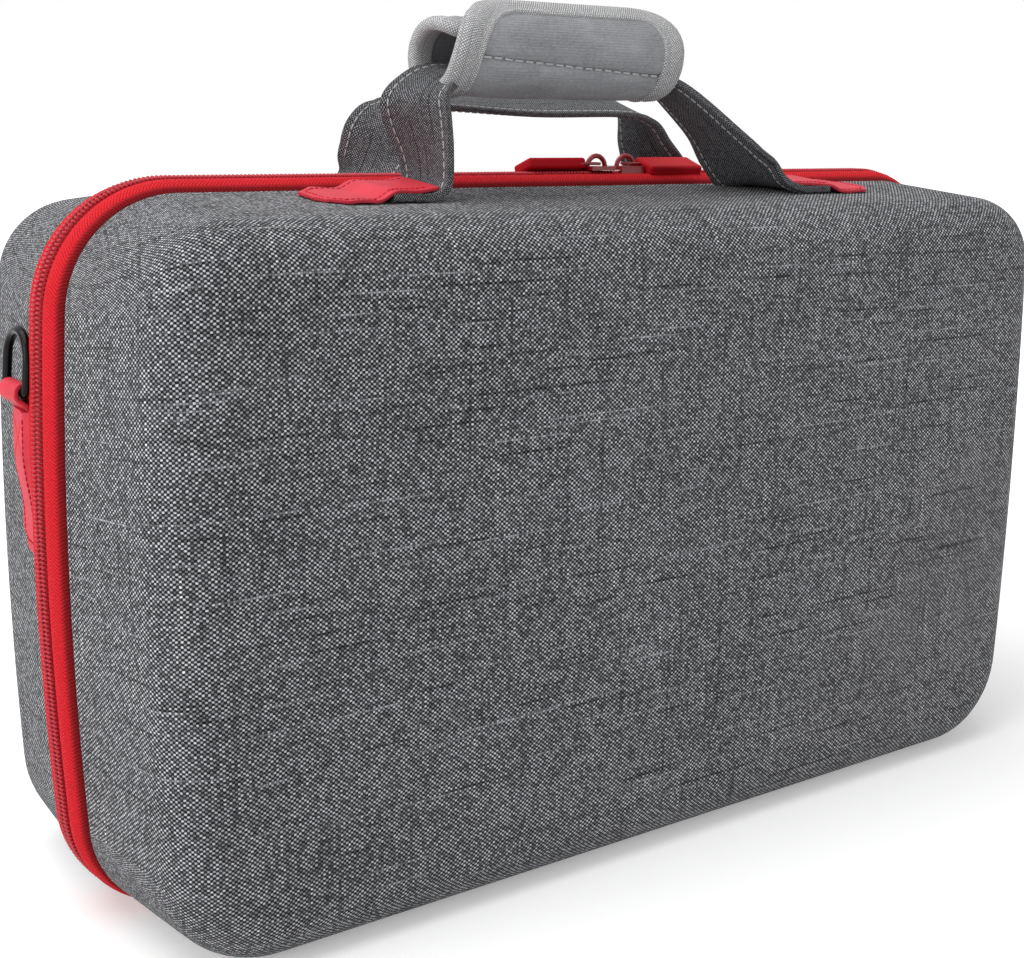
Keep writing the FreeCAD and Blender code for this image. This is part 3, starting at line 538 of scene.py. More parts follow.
def plain_weave(name, warp, weft, pitches, gap, fleck, slub, depth):
    """Heathered polyester in plain weave: matt dots of light warp and dark weft, each thread in its own tone.

    The case's threads are drawn at about twice their real spacing of 0.4 mm, because finer ones don't show.
    """
    material, tree, shader = new_material(name, Roughness=0.92, Specular_IOR_Level=0.12, Sheen_Weight=0.04)
    uv, across, along = uv_parts(tree, 0.5 * MM)
    warp_number, warp_tone = yarn_tones(tree, across, along, pitches[0], 66 * MM)
    weft_number, weft_tone = yarn_tones(tree, along, across, pitches[1], 64 * MM)
    turn = put(tree, "Math", {0: warp_number, 1: weft_number}, operation="ADD")[0]
    over = put(tree, "Math", {0: turn, 1: 1.0}, operation="PINGPONG")[0]
    # Most threads have the two middle colours, and only a few at either end of the noise are dark or light
    steps = (0.24, 0.35, 0.67, 0.8)
    upright = put(tree, "ValToRGB", {0: warp_tone}, list(zip(steps, warp)))[0]
    level = put(tree, "ValToRGB", {0: weft_tone}, list(zip(steps, weft)))[0]
    yarn = put(tree, "Mix", {0: over, 6: level, 7: upright}, data_type="RGBA")[2]
    crossing = put(tree, "CombineXYZ", {0: warp_number, 1: weft_number})[0]
    chance = put(tree, "TexWhiteNoise", {"Vector": crossing}, noise_dimensions="2D")["Value"]
    dot = put(tree, "Math", {0: ridges(tree, across, pitches[0]), 1: ridges(tree, along, pitches[1])},
              operation="MULTIPLY")[0]
    wash = streaks(tree, uv, 60 * MM, 40 * MM)
    light = put(tree, "Math", {0: wash, 1: 0.3, 2: 0.85 - fleck / 2}, operation="MULTIPLY_ADD")[0]
    light = put(tree, "Math", {0: chance, 1: fleck, 2: light}, operation="MULTIPLY_ADD")[0]
    # Thick dark places in the level threads
    thick = put(tree, "MapRange", {0: weft_tone, 1: 0.25, 2: 0.33, 3: slub, 4: 1.0})[0]
    light = put(tree, "Math", {0: light, 1: thick}, operation="MULTIPLY")[0]
    shade = put(tree, "Math", {0: dot, 1: 1.0 - gap, 2: gap}, operation="MULTIPLY_ADD")[0]
    shade = put(tree, "Math", {0: shade, 1: light}, operation="MULTIPLY")[0]
    tint = put(tree, "Mix", {0: 1.0, 6: yarn, 7: shade}, data_type="RGBA", blend_type="MULTIPLY")[2]
    relief = put(tree, "Bump", {"Strength": 0.5, "Distance": depth, "Height": dot})[0]
    feed(tree, shader, {"Base Color": tint, "Normal": relief})
    return material


def herringbone_tape(name, plain, raised, pitch):
    """Woven polyester tape: fine slanted ribs that turn back in bands, a little brighter on their crests."""
    material, tree, shader = new_material(name, Roughness=0.75, Specular_IOR_Level=0.15)
    uv, across, along = uv_parts(tree)
    band = put(tree, "Math", {0: across, 1: 2.4 * MM}, operation="PINGPONG")[0]
    slant = put(tree, "Math", {0: band, 1: 1.1, 2: along}, operation="MULTIPLY_ADD")[0]
    rib = ridges(tree, slant, pitch)
    grain = streaks(tree, uv, 0.7 * MM, 0.9 * MM)
    tone = put(tree, "Math", {0: rib, 1: 0.6, 2: 0.1}, operation="MULTIPLY_ADD")[0]
    tone = put(tree, "Math", {0: grain, 1: 0.5, 2: tone}, operation="MULTIPLY_ADD", use_clamp=True)[0]
    tint = put(tree, "Mix", {0: tone, 6: plain, 7: raised}, data_type="RGBA")[2]
    # Painted shade: the tape darkens towards its sewn border by the rim, where the rim's shadow falls
    border = put(tree, "MapRange", {0: across, 1: 9.2 * MM, 2: 10.9 * MM, 3: 1.0, 4: 0.15})[0]
    tint = put(tree, "Mix", {0: 1.0, 6: tint, 7: border}, data_type="RGBA", blend_type="MULTIPLY")[2]
    relief = put(tree, "Bump", {"Strength": 0.55, "Distance": 0.3 * MM, "Height": rib})[0]
    feed(tree, shader, {"Base Color": tint, "Normal": relief})
    return material


def coil_nylon(name, plain):
    """Dyed nylon monofilament: smooth and a little shiny, its tone changing from turn to turn (1.4 mm)."""
    material, tree, shader = new_material(name, Roughness=0.4, IOR=1.53, Specular_IOR_Level=0.18)
    place = put(tree, "TexCoord")["Object"]
    grain = put(tree, "TexNoise", {"Vector": place, "Scale": 700.0, "Detail": 2.0})["Fac"]
    tint = put(tree, "Mix", {0: grain, 6: darker(plain, 0.55), 7: plain}, data_type="RGBA")[2]
    feed(tree, shader, {"Base Color": tint})
    return material


def skinned(name, plain, roughness, gloss, grain_mm, depth):
    """Moulded plastic, enamel or lacquer: one colour that varies a little under a fine skin."""
    material, tree, shader = new_material(name, Roughness=roughness, IOR=1.5, Specular_IOR_Level=gloss)
    place = put(tree, "TexCoord")["Object"]
    grain = put(tree, "TexNoise", {"Vector": place, "Scale": 1 / (grain_mm * MM), "Detail": 3.0})["Fac"]
    # Wear in patches of about 8 mm
    wear = put(tree, "TexNoise", {"Vector": place, "Scale": 120.0, "Detail": 2.0})["Fac"]
    tint = put(tree, "Mix", {0: wear, 6: darker(plain, 0.75), 7: plain}, data_type="RGBA")[2]
    relief = put(tree, "Bump", {"Strength": 0.25, "Distance": depth, "Height": grain})[0]
    feed(tree, shader, {"Base Color": tint, "Normal": relief})
    return material


def coated_leather(name, plain):
    """Polyurethane-coated patch: soft red with a low gloss and a fine pebbled grain of about 0.8 mm."""
    material, tree, shader = new_material(name, Roughness=0.6, IOR=1.48, Specular_IOR_Level=0.3)
    uv, _, _ = uv_parts(tree)
    cells = put(tree, "TexVoronoi", {"Vector": uv, "Scale": 1 / (0.8 * MM)}, feature="DISTANCE_TO_EDGE",
                voronoi_dimensions="2D")["Distance"]
    pebble = put(tree, "Math", {0: cells, 1: 4.0}, operation="MULTIPLY", use_clamp=True)[0]
    wash = streaks(tree, uv, 9 * MM, 12 * MM)
    tint = put(tree, "Mix", {0: wash, 6: darker(plain, 0.7), 7: plain}, data_type="RGBA")[2]
    tint = put(tree, "Mix", {0: 0.15, 6: tint, 7: pebble}, data_type="RGBA", blend_type="MULTIPLY")[2]
    relief = put(tree, "Bump", {"Strength": 0.3, "Distance": 0.12 * MM, "Height": pebble})[0]
    feed(tree, shader, {"Base Color": tint, "Normal": relief})
    return material


def wrap_knit(name, plain):
    """Knit-faced neoprene: smooth and matt, with fine level wales and a faint cloud of lint."""
    material, tree, shader = new_material(name, Roughness=0.85, Sheen_Weight=0.06, Specular_IOR_Level=0.15)
    uv, _, along = uv_parts(tree)
    wale = ridges(tree, along, 0.8 * MM)
    cloud = streaks(tree, uv, 22 * MM, 8 * MM)
    fuzz = streaks(tree, uv, 1.4 * MM, 0.6 * MM)
    share = put(tree, "Math", {0: cloud, 1: fuzz}, operation="ADD")[0]
    share = put(tree, "Math", {0: share, 1: 0.5}, operation="MULTIPLY")[0]
    tint = put(tree, "Mix", {0: share, 6: darker(plain, 0.35), 7: darker(plain, 1.6)}, data_type="RGBA")[2]
    relief = put(tree, "Bump", {"Strength": 0.4, "Distance": 0.25 * MM, "Height": wale})[0]
    feed(tree, shader, {"Base Color": tint, "Normal": relief})
    return material


def ribbed_tape(name, plain, pitch):
    """Knitted elastic: ribs across its length with dark gaps between."""
    material, tree, shader = new_material(name, Roughness=0.8, Sheen_Weight=0.05, Specular_IOR_Level=0.2)
    uv, _, along = uv_parts(tree)
    rib = ridges(tree, along, pitch)
    grain = streaks(tree, uv, 0.8 * MM, 2.5 * MM)
    tone = put(tree, "Math", {0: rib, 1: grain}, operation="MULTIPLY")[0]
    tint = put(tree, "Mix", {0: tone, 6: darker(plain, 0.5), 7: darker(plain, 1.6)}, data_type="RGBA")[2]
    relief = put(tree, "Bump", {"Strength": 0.6, "Distance": 0.4 * MM, "Height": rib})[0]
    feed(tree, shader, {"Base Color": tint, "Normal": relief})
    return material


def napped(name, plain, grain_mm):
    """Brushed lining, hook or loop pile, or open foam: matt, with a fine random nap."""
    material, tree, shader = new_material(name, Roughness=0.95, Sheen_Weight=0.1, Specular_IOR_Level=0.12)
    place = put(tree, "TexCoord")["Object"]
    grain = put(tree, "TexNoise", {"Vector": place, "Scale": 1 / (grain_mm * MM), "Detail": 4.0})["Fac"]
    tint = put(tree, "Mix", {0: grain, 6: darker(plain, 0.45), 7: darker(plain, 1.3)}, data_type="RGBA")[2]
    relief = put(tree, "Bump", {"Strength": 0.4, "Distance": 0.4 * MM, "Height": grain})[0]
    feed(tree, shader, {"Base Color": tint, "Normal": relief})
    return material


def knit_mesh(name, plain):
    """Open knit mesh: yarn round small holes at a 2.4 mm spacing, drawn as dark dots."""
    material, tree, shader = new_material(name, Roughness=0.8, Sheen_Weight=0.05, Specular_IOR_Level=0.2)
    uv, _, _ = uv_parts(tree)
    cells = put(tree, "TexVoronoi", {"Vector": uv, "Scale": 1 / (2.4 * MM), "Randomness": 0.0},
                voronoi_dimensions="2D")["Distance"]
    hole = put(tree, "Math", {0: cells, 1: 0.3}, operation="LESS_THAN")[0]
    tint = put(tree, "Mix", {0: hole, 6: darker(plain, 1.8), 7: darker(plain, 0.15)}, data_type="RGBA")[2]
    relief = put(tree, "Bump", {"Strength": 0.6, "Distance": 0.5 * MM, "Height": cells})[0]
    feed(tree, shader, {"Base Color": tint, "Normal": relief})
    return material


def sewing_thread(name, plain):
    """Spun polyester thread: matt, with a twist of light and dark."""
    material, tree, shader = new_material(name, Roughness=0.8, Specular_IOR_Level=0.2)
    place = put(tree, "TexCoord")["Object"]
    twist = put(tree, "TexNoise", {"Vector": place, "Scale": 1 / (0.5 * MM), "Detail": 1.0})["Fac"]
    tint = put(tree, "Mix", {0: twist, 6: darker(plain, 0.6), 7: plain}, data_type="RGBA")[2]
    feed(tree, shader, {"Base Color": tint})
    return material


# Materials that are already made
FINISHES = {}


def finish(name):
    """A finished material, made when it is first asked for."""
    c = colours()
    warp = (c.warp_dark, c.warp_middle, c.warp_middle, c.warp_light)
    weft = (c.weft_dark, c.weft_middle, c.weft_middle, c.weft_light)
    strap = (c.strap_middle, c.strap_light, c.strap_light, c.strap_light)
    strap_weft = (c.strap_dark, c.strap_dark, c.strap_dark, c.strap_middle)
    binding = (c.binding, c.binding_light, c.binding_light, c.binding_light)
    binding_weft = (c.binding_dark, c.binding_dark, c.binding_dark, c.binding)
    cloth, tape = (0.9 * MM, 0.74 * MM), (0.52 * MM, 0.46 * MM)
    makers = {
        "shell_cloth": lambda: plain_weave("heathered_weave", warp, weft, cloth, 0.3, 1.2, 0.45, 0.12 * MM),
        "hinge_cloth": lambda: plain_weave("hinge_weave", strap, strap_weft, cloth, 0.3, 0.8, 0.8, 0.12 * MM),
        "strap_cloth": lambda: plain_weave("strap_weave", strap, strap_weft, tape, 0.3, 0.8, 1.0, 0.12 * MM),
        "binding_tape": lambda: plain_weave("woven_binding", binding, binding_weft, tape, 0.5, 0.3, 1.0,
                                            0.2 * MM),
        "lining": lambda: napped("brushed_lining", c.lining, 0.9),
        "zip_tape": lambda: herringbone_tape("herringbone_tape", c.tape, c.tape_light, 1.2 * MM),
        "zip_coil": lambda: coil_nylon("dyed_nylon_coil", c.coil),
        "slider_enamel": lambda: skinned("slider_enamel", c.enamel, 0.35, 0.5, 0.6, 0.1 * MM),
        "link_wire": lambda: skinned("painted_wire", c.wire, 0.35, 0.5, 0.6, 0.1 * MM),
        "pull_plastic": lambda: skinned("moulded_pull", c.pull, 0.55, 0.08, 0.8, 0.12 * MM),
        "ring_black": lambda: skinned("gloss_black_wire", c.ring, 0.22, 0.14, 0.8, 0.03 * MM),
        "grip_foam": lambda: wrap_knit("knit_neoprene", c.wrap),
        "hook_strip": lambda: napped("hook_tape", c.closure, 0.7),
        "loop_strip": lambda: napped("loop_tape", c.closure, 1.2),
        "patch_leather": lambda: coated_leather("coated_patch", c.leather),
        "tab_leather": lambda: coated_leather("coated_tab", c.leather),
        "tray_foam": lambda: napped("open_foam", c.foam, 1.4),
        "pocket_mesh": lambda: knit_mesh("pocket_mesh", c.mesh),
        "hem_elastic": lambda: ribbed_tape("knit_elastic", c.mesh, 1.4 * MM),
        "thread": lambda: sewing_thread("grey_thread", c.thread),
        "seam_thread": lambda: sewing_thread("pale_thread", c.binding),
        "leather_thread": lambda: sewing_thread("red_thread", c.leather_thread),
    }
    if name not in FINISHES:
        FINISHES[name] = makers[name]()
    return FINISHES[name]


# Pieces

class CASE_OT_covers(bpy.types.Operator):
    """Moulded halves with their cloth, a rolled rim, a rounded edge and a flat face"""
    bl_idname = "case.covers"
    bl_label = "Shell covers"
    # Sizes of the rings on the flat face, as shares of its edge
    face_rings = (0.96, 0.8, 0.5, 0.2)

    def execute(self, context):
        s = sizes()
        lean = math.atan2(s.draft, s.half_depth)
        heart = shell_inset(s.half_depth - s.edge_round) + s.edge_round / math.cos(lean)
        # Depth, inset and lift of each ring, from the tucked rim over the wall and round the edge
        tuck = [(0.0, 1.6, 1.6), (0.0, 0.6, 0.6), (0.4, 0.1, 0.1), (1.2, -0.1, 0.0), (3.0, 0.0, 0.0)]
        rows = [(s.rim + deep * MM, more * MM, low * MM) for deep, more, low in tuck]
        start = s.half_depth - s.edge_round + s.edge_round * math.sin(lean)
        wall = s.rim + 7 * MM
        rows += [(wall + (start - wall) * i / 6, 0.0, 0.0) for i in range(6)]
        for i in range(13):
            angle = lean + (math.pi / 2 - lean) * i / 12
            depth = s.half_depth - s.edge_round * (1 - math.sin(angle))
            rows.append((depth, heart - s.edge_round * math.cos(angle) - shell_inset(depth),
                         s.edge_round * (1 - math.cos(angle))))
        rings = [(depth, section_points(shell_section(depth, more, low))) for depth, more, low in rows]
        profile = Line([(depth, shell_inset(depth) + more, 0) for depth, more, low in rows])
        depth, edge = rings[-1]
        ways, walls = section_ways(edge), len(rings)
        middle = s.height / 2
        for share in self.face_rings:
            rings.append((depth, [(x * share, middle + (z - middle) * share) for x, z in edge]))
        count, steps = len(edge) - 1, len(rings) - 1

        def flat(u, v):
            """The cloth lies flat on the face and is drawn straight out over the walls."""
            column, row = round(u * count), round(v * steps)
            if row >= walls:
                return rings[row][1][column]
            (x, z), (out_x, out_z) = edge[column], ways[column]
            drawn = profile.length - profile.marks[row]
            return x + out_x * drawn, z + out_z * drawn

        for name, side in HALVES.items():
            def place(u, v):
                depth, ring = rings[round(v * steps)]
                x, z = ring[round(u * count)]
                return x, side * depth, z

            piece = bent_grid(f"{name}_cover", count, steps, place, flat)
            edited(piece, merge, lambda: self.close_face(piece, side))
            turn_to(piece, lambda center: center - Vector((0, 0, middle)))
            dress(piece, "shell_cloth", "lining")
            modify(piece, "SOLIDIFY", thickness=s.wall, offset=-1, material_offset=1, material_offset_rim=0)
            smooth(piece, 50)
            fit(piece, f"{name}_half", "shell_cloth", f"{name}_shell")
        return {"FINISHED"}

    def close_face(self, piece, side):
        """Fills the innermost ring of the face and maps it straight on."""
        s = sizes()
        bpy.ops.mesh.select_all(action="DESELECT")
        bpy.ops.object.mode_set(mode="OBJECT")
        mesh, share = piece.data, self.face_rings[-1] + 0.01
        for vertex in mesh.vertices:
            vertex.select = (abs(vertex.co.y - side * s.half_depth) < 1e-5
                             and abs(vertex.co.x) < share * s.width / 2
                             and abs(vertex.co.z - s.height / 2) < share * s.height / 2)
        bpy.ops.object.mode_set(mode="EDIT")
        bpy.ops.mesh.edge_face_add()
        bpy.ops.object.mode_set(mode="OBJECT")
        layer = mesh.uv_layers.active.data
        for face in mesh.polygons:
            if len(face.vertices) > 4:
                for loop in face.loop_indices:
                    spot = mesh.vertices[mesh.loops[loop].vertex_index].co
                    layer[loop].uv = spot.x, spot.z
        bpy.ops.object.mode_set(mode="EDIT")


class CASE_OT_hinge(bpy.types.Operator):
    """Cloth strip along the base that joins the two rims"""
    bl_idname = "case.hinge"
    bl_label = "Hinge strip"

    def execute(self, context):
        s = sizes()
        reach = s.zip_end - 0.3 * MM

        def place(u, v):
            y = s.rim * (1 - 2 * v)
            crease = 0.8 * MM * math.exp(-(y / (2.2 * MM)) ** 2)
            return reach * (2 * u - 1), y, 0.7 * MM + crease

        piece = bent_grid("hinge_cloth", 40, 40, place, lambda u, v: (2 * reach * u, 2 * s.rim * v))
        turn_to(piece, lambda center: (0, 0, -1))
        dress(piece, "hinge_cloth")
        modify(piece, "SOLIDIFY", thickness=1.0 * MM, offset=-1)
        smooth(piece)
        fit(piece, None, "hinge_cloth", "hinge_strip")
        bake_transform(piece)
        return {"FINISHED"}


class CASE_OT_zip(bpy.types.Operator):
    """Zip tapes and the two halves of the coil chain"""
    bl_idname = "case.zip"
    bl_label = "Zip"

    def execute(self, context):
        s = sizes()
        coil_edge, rim = zip_section(s.coil_drop), shell_section(s.rim, 0.0, s.zip_lift / 4)
        # Depth, share of the way to the rim and swell across the tape
        across = [(s.coil_half - 0.7 * MM, 0.0, -0.9 * MM), (s.coil_half, 0.0, -0.2 * MM)]
        crown, border = 1.8 * MM, 0.84
        across += [(s.coil_half + (s.rim - s.coil_half) * t, t, crown * math.sin(math.pi * t / border) ** 0.7)
                   for t in (0.06, 0.16, 0.28, 0.4, 0.52, 0.64, 0.74, 0.81)]
        across += [(s.rim - 1.1 * MM, 1.0, -1.3 * MM), (s.rim - 0.2 * MM, 1.0, -2.3 * MM),
                   (s.rim + 0.5 * MM, 1.0, -2.6 * MM)]
        rings = [(depth, section_points(mixed(coil_edge, rim, share, swell), s.zip_end))
                 for depth, share, swell in across]
        # Lengths along the tape are taken on its crown
        along = Line([(x, 0, z) for x, z in rings[5][1]])
        count, steps = len(along.points) - 1, len(rings) - 1
        outline = section_points(zip_section(0.0), s.zip_end)
        crest = Line([(x, 0, z) for x, z in outline], [(x, 0, z) for x, z in section_ways(outline)])
        for name, side in HALVES.items():
            def place(u, v):
                depth, ring = rings[round(u * steps)]
                x, z = ring[round(v * count)]
                return x, side * depth, max(z, 0.3 * MM)

            def flat(u, v):
                return rings[round(u * steps)][0], along.marks[round(v * count)]

            tape = bent_grid(f"{name}_tape", steps, count, place, flat)
            turn_to(tape, lambda center: center - Vector((0, 0, s.height / 2)))
            dress(tape, "zip_tape")
            modify(tape, "SOLIDIFY", thickness=0.9 * MM, offset=-1)
            smooth(tape)
            fit(tape, f"{name}_half", "zip_tape", f"zip_tape_{name}")
            coil = self.coil(f"{name}_coil", side, crest)
            dress(coil, "zip_coil")
            fit(coil, f"{name}_half", "zip_coil", f"zip_coil_{name}")
        return {"FINISHED"}

    def coil(self, name, side, crest):
        """Rounded turns of the coil on a low band; the turns of the two halves lie between each other."""
        s = sizes()
        turns = int(crest.length / s.coil_pitch) - 1
        half = s.coil_half / 2 + 0.15 * MM
        start = s.coil_pitch * (0.5 if side == FRONT else 1.0)

        def lay(along, over, high):
            depth = half + over
            fall = s.coil_drop * ((depth - 0.6 * s.coil_half) / s.coil_half) ** 2
            return crest.lay(along + start, 0, high - 0.8 * MM - fall) + Vector((0, side * depth, 0))

        bead = (0.64 * s.coil_pitch, s.coil_half - 0.7 * MM, 2.0 * MM)
        piece = repeated(name, bead, 0.44 * MM, s.coil_pitch, turns, lay)
        ridge = [(0.3 * MM, -1.9 * MM), (0.4 * MM, -1.3 * MM), (half, -1.1 * MM), (s.coil_half, -1.7 * MM),
                 (s.coil_half, -2.6 * MM)]
        if side == REAR:
            # A lip behind the other half, so that no light comes through the closed chain
            ridge = [(-0.8 * MM, -2.9 * MM), (0.2 * MM, -2.6 * MM)] + ridge

        def place(u, v):
            depth, high = ridge[round(u * (len(ridge) - 1))]
            return crest.lay(v * crest.length, 0, high) + Vector((0, side * depth, 0))

        band = bent_grid(f"{name}_band", len(ridge) - 1, 400, place, lambda u, v: (u, v))
        turn_to(band, lambda center: center - Vector((0, 0, s.height / 2)))
        thicken(band, 0.5 * MM, -1)
        return joined(piece, band)


def strap_stations(side):
    """Stations of a strap: x, y, z, width, yaw and roll, in metres and radians.

    The rows below are in millimetres, with the rise over the case's top in place of z.
    """
    s = sizes()
    base = top_height(s.strap_y)
    slope = math.atan2(s.draft, s.half_depth)
    wide = s.strap_width / MM

    def flat(x):
        """An end that lies on the shell's drafted top."""
        return x, side * 28, 1.55, wide, 0.0, -side * slope

    if side == REAR:
        run = s.rear_rise / MM - 1
        rows = [flat(-95), flat(-87), flat(-78), (-68, 28, 4.5, wide, -0.4, -0.06),
                (-63.5, 28, 12, wide, -0.75, 0), (-60.5, 28, 19.5, wide, -0.8, 0),
                (-54.5, 28, 26.5, 25, -0.6, -0.05), (-43, 28, run - 0.5, 23, -0.2, 0.15),
                (0, 28, run, 23, 0, 0.4), (43, 28, run, 24, 0, 0.35), (57, 28, run - 4, wide, 0.1, 0.2),
                (63, 28, 15, wide, -0.2, 0), (70.5, 28, 5, wide, -0.5, -0.05), flat(82), flat(88), flat(96)]
    else:
        run = s.grip_rise / MM - 3.6
        rows = [flat(-99), flat(-91), flat(-83.5), (-78, -28, 4.5, wide, 0, 0.06),
                (-78.6, -28, 14, wide, -0.1, 0), (-81.5, -28, 24, wide, -0.3, 0),
                (-82.6, -28, 30.4, 26, -0.35, 0), (-79, -27, 34.4, 24, -0.2, 0.15),
                (-72.5, -26, run - 2, 20, 0, 0.3), (-64, -26, run, 16, 0, 0.15), (-26.5, -26, run, 15, 0, 0),
                (12, -26, run, 15, 0, 0), (21, -26, run - 1.5, 17, -0.05, 0), (31, -27, 32.5, 21, -0.1, 0),
                (48, -28, 20, wide, -0.1, 0), (58, -28, 11, wide, -0.45, 0), (66.5, -28, 5, wide, -0.7, 0),
                (74, -28, 2.6, wide, -0.45, 0.05), flat(84), flat(89), flat(97)]
    return [(x * MM, y * MM, base + rise * MM, width * MM, yaw, roll)
            for x, y, rise, width, yaw, roll in rows]


class CASE_OT_straps(bpy.types.Operator):
    """Handle straps of folded cloth with stitched edges"""
    bl_idname = "case.straps"
    bl_label = "Handle straps"

    def execute(self, context):
        s = sizes()
        # The sewn rows lie 3 mm in from both edges
        seam = 3.0 * MM / s.strap_width
        for name, side in HALVES.items():
            path = glide(strap_stations(side), 8)
            line = Line([row[:3] for row in path])
            count = len(path) - 1
            stations = []
            for index, (*_, width, yaw, roll) in enumerate(path):
                along = line.points[min(index + 1, count)] - line.points[max(index - 1, 0)]
                level = math.cos(roll)
                across = Vector((math.sin(yaw) * level, math.cos(yaw) * level, math.sin(roll)))
                normal = along.cross(across).normalized()
                stations.append((line.points[index], normal.cross(along).normalized() * width, normal))

            def place(u, v):
                point, across, normal = stations[round(v * count)]
                rim = 2 * u - 1
                groove = 0.25 * MM * math.exp(-((min(u, 1 - u) - seam) * s.strap_width / (0.9 * MM)) ** 2)
                return point + across * (u - 0.5) + normal * (0.5 * MM * rim ** 4 - groove)

            piece = bent_grid(f"{name}_strap", 26, count, place,
                              lambda u, v: (u * s.strap_width, line.marks[round(v * count)]))
            dress(piece, "strap_cloth")
            thicken(piece, s.strap_thick, 0, 0.7 * MM)
            fit(piece, f"{name}_half", "strap_cloth", f"handle_strap_{name}")
            rows = []
            for share in (seam, 1 - seam):
                for face in (1, -1):
                    points = [Vector(place(share, i / count)) + stations[i][2] * face * (s.strap_thick / 2)
                              for i in range(count + 1)]
                    rows.append(Line(points, [station[2] * face for station in stations]))
            stitches(f"{name}_strap_stitching", rows, 3.2 * MM, "thread", f"{name}_half", "strap_cloth")
        return {"FINISHED"}


class CASE_OT_grip(bpy.types.Operator):
    """Padded wrap round the front strap, its woven binding and its closure strips"""
    bl_idname = "case.grip"
    bl_label = "Padded grip"

    def execute(self, context):
        s = sizes()
        y, z = -s.grip_y, top_height(s.strap_y) + s.grip_rise
        # Middle of the wall from the lip over the back, under and up the front to the flap's edge, as half
        # width, half height, rise and angle
        inner, outer = (s.grip_inner, 10.3 * MM, 0.6 * MM), (s.grip_outer, 13.6 * MM, 3.9 * MM)
        turn = [inner + (math.radians(a),) for a in range(140, -91, -5)]
        turn += [outer + (math.radians(a),) for a in range(-95, -263, -5)]
        curve = Line([(0, y + wide * math.cos(a), z + up + high * math.sin(a)) for wide, high, up, a in turn])
        total, front = curve.length, s.grip_inner * math.radians(230)
        left, right = s.grip_x - s.grip_length / 2, s.grip_x + s.grip_length / 2 - 2.8 * MM
        # Corner radii of the flap's two ends and of the lip
        flap_left, flap_right, lip = 27 * MM, 18 * MM, 9 * MM

        def on_wrap(x, around, rise):
            """A place round the wrap, raised from the middle of its wall."""
            point, way = curve.at(around)
            return Vector((x, point.y, point.z)) + Vector((0, -way.z, way.y)) * rise

        def seam(x):
            """Place of the sewn crease round the wrap: it falls a little from left to right."""
            return front + 16.0 * MM - 4.3 * MM * (x - left - 10 * MM) / (80 * MM)

        def rounded(radius, over):
            """How far a rounded corner cuts in, over past the start of its round."""
            return radius - math.sqrt(max(0.0, radius ** 2 - max(0.0, over) ** 2))

        def place(u, v):
            around = v * total
            start = left + max(rounded(flap_left, around - total + flap_left), rounded(lip, lip - around))
            stop = right - max(rounded(flap_right, around - total + flap_right), rounded(lip, lip - around))
            x = start + (stop - start) * u
            inside = min(x - start, stop - x, total - around, around)
            # The front flap is fuller than the turn under it
            full = 1.5 * MM if around > front else 0.8 * MM
            swell = full * (1 - math.exp(-max(0.0, inside - 6 * MM) / (5 * MM)))
            crease = 1.4 * MM * math.exp(-((around - seam(x)) / (1.2 * MM)) ** 2) if inside > 7 * MM else 0.0
            return on_wrap(x, around, swell - crease)

        piece = bent_grid("padded_wrap", 60, 140, place, lambda u, v: (u * s.grip_length, v * total))
        turn_to(piece, lambda center: (0, center.y - y, center.z - z))
        dress(piece, "grip_foam")
        thicken(piece, s.grip_wall, 0)
        fit(piece, "front_half", "grip_foam", "grip_wrap")
        margin = 9 * MM
        xs = [left + margin + (s.grip_length - 2 * margin) * i / 40 for i in range(41)]
        tops = [on_wrap(x, seam(x), s.grip_wall / 2 + 0.7 * MM) for x in xs]
        ups = [(tops[i] - on_wrap(x, seam(x), 0)).normalized() for i, x in enumerate(xs)]
        stitches("wrap_seam", [Line(tops, ups)], 4.2 * MM, "seam_thread", "front_half", "grip_foam",
                 0.65 * MM)
        self.binding(on_wrap, total, (left, right, flap_left, flap_right, lip), (y, z))
        for node in ("grip_hook_strip", "grip_loop_strip"):
            dress(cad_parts[node], node.removeprefix("grip_"))
        return {"FINISHED"}

    def binding(self, on_wrap, total, outline, middle):
        """Folded tape round the whole edge of the wrap, with a raised lip and a row of stitches."""
        s = sizes()
        left, right, flap_left, flap_right, lip = outline

        def arc(x, around, radius, begin):
            angles = [begin - math.pi / 2 * i / 12 for i in range(12)]
            return [(x + radius * math.cos(a), around + radius * math.sin(a)) for a in angles]

        def straight(a, b, count):
            (x0, y0), (x1, y1) = a, b
            return [(x0 + (x1 - x0) * i / count, y0 + (y1 - y0) * i / count) for i in range(count)]

        border = straight((left, lip), (left, total - flap_left), 26)
        border += arc(left + flap_left, total - flap_left, flap_left, math.pi)
        border += straight((left + flap_left, total), (right - flap_right, total), 18)
        border += arc(right - flap_right, total - flap_right, flap_right, math.pi / 2)
        border += straight((right, total - flap_right), (right, lip), 28)
        border += arc(right - lip, lip, lip, 0.0)
        border += straight((right - lip, 0.0), (left + lip, 0.0), 24)
        border += arc(left + lip, lip, lip, -math.pi / 2)
        edge = Line([(a, b, 0) for a, b in border + border[:1]])
        count = len(border)

        def inward(index):
            way = edge.points[(index + 1) % count] - edge.points[(index - 1) % count]
            return Vector((way.y, -way.x, 0)).normalized()

        # Distance in from the edge and rise over the middle of the wall, across the folded tape
        top = s.grip_wall / 2 / MM
        hem = [(8.6, top + 0.1), (8.5, top + 0.8), (7.9, top + 1.15), (7.2, top + 0.95), (6.5, top + 0.45),
               (5.6, top + 0.75), (3.5, top + 0.95), (1.0, top + 0.8), (-0.4, top + 0.2), (-0.9, 0.0),
               (-0.4, -top - 0.2), (1.0, -top - 0.6), (4.0, -top - 0.6), (6.5, -top - 0.3)]
        folds = len(hem) - 1
        spread = Line([(a, b, 0) for a, b in hem])

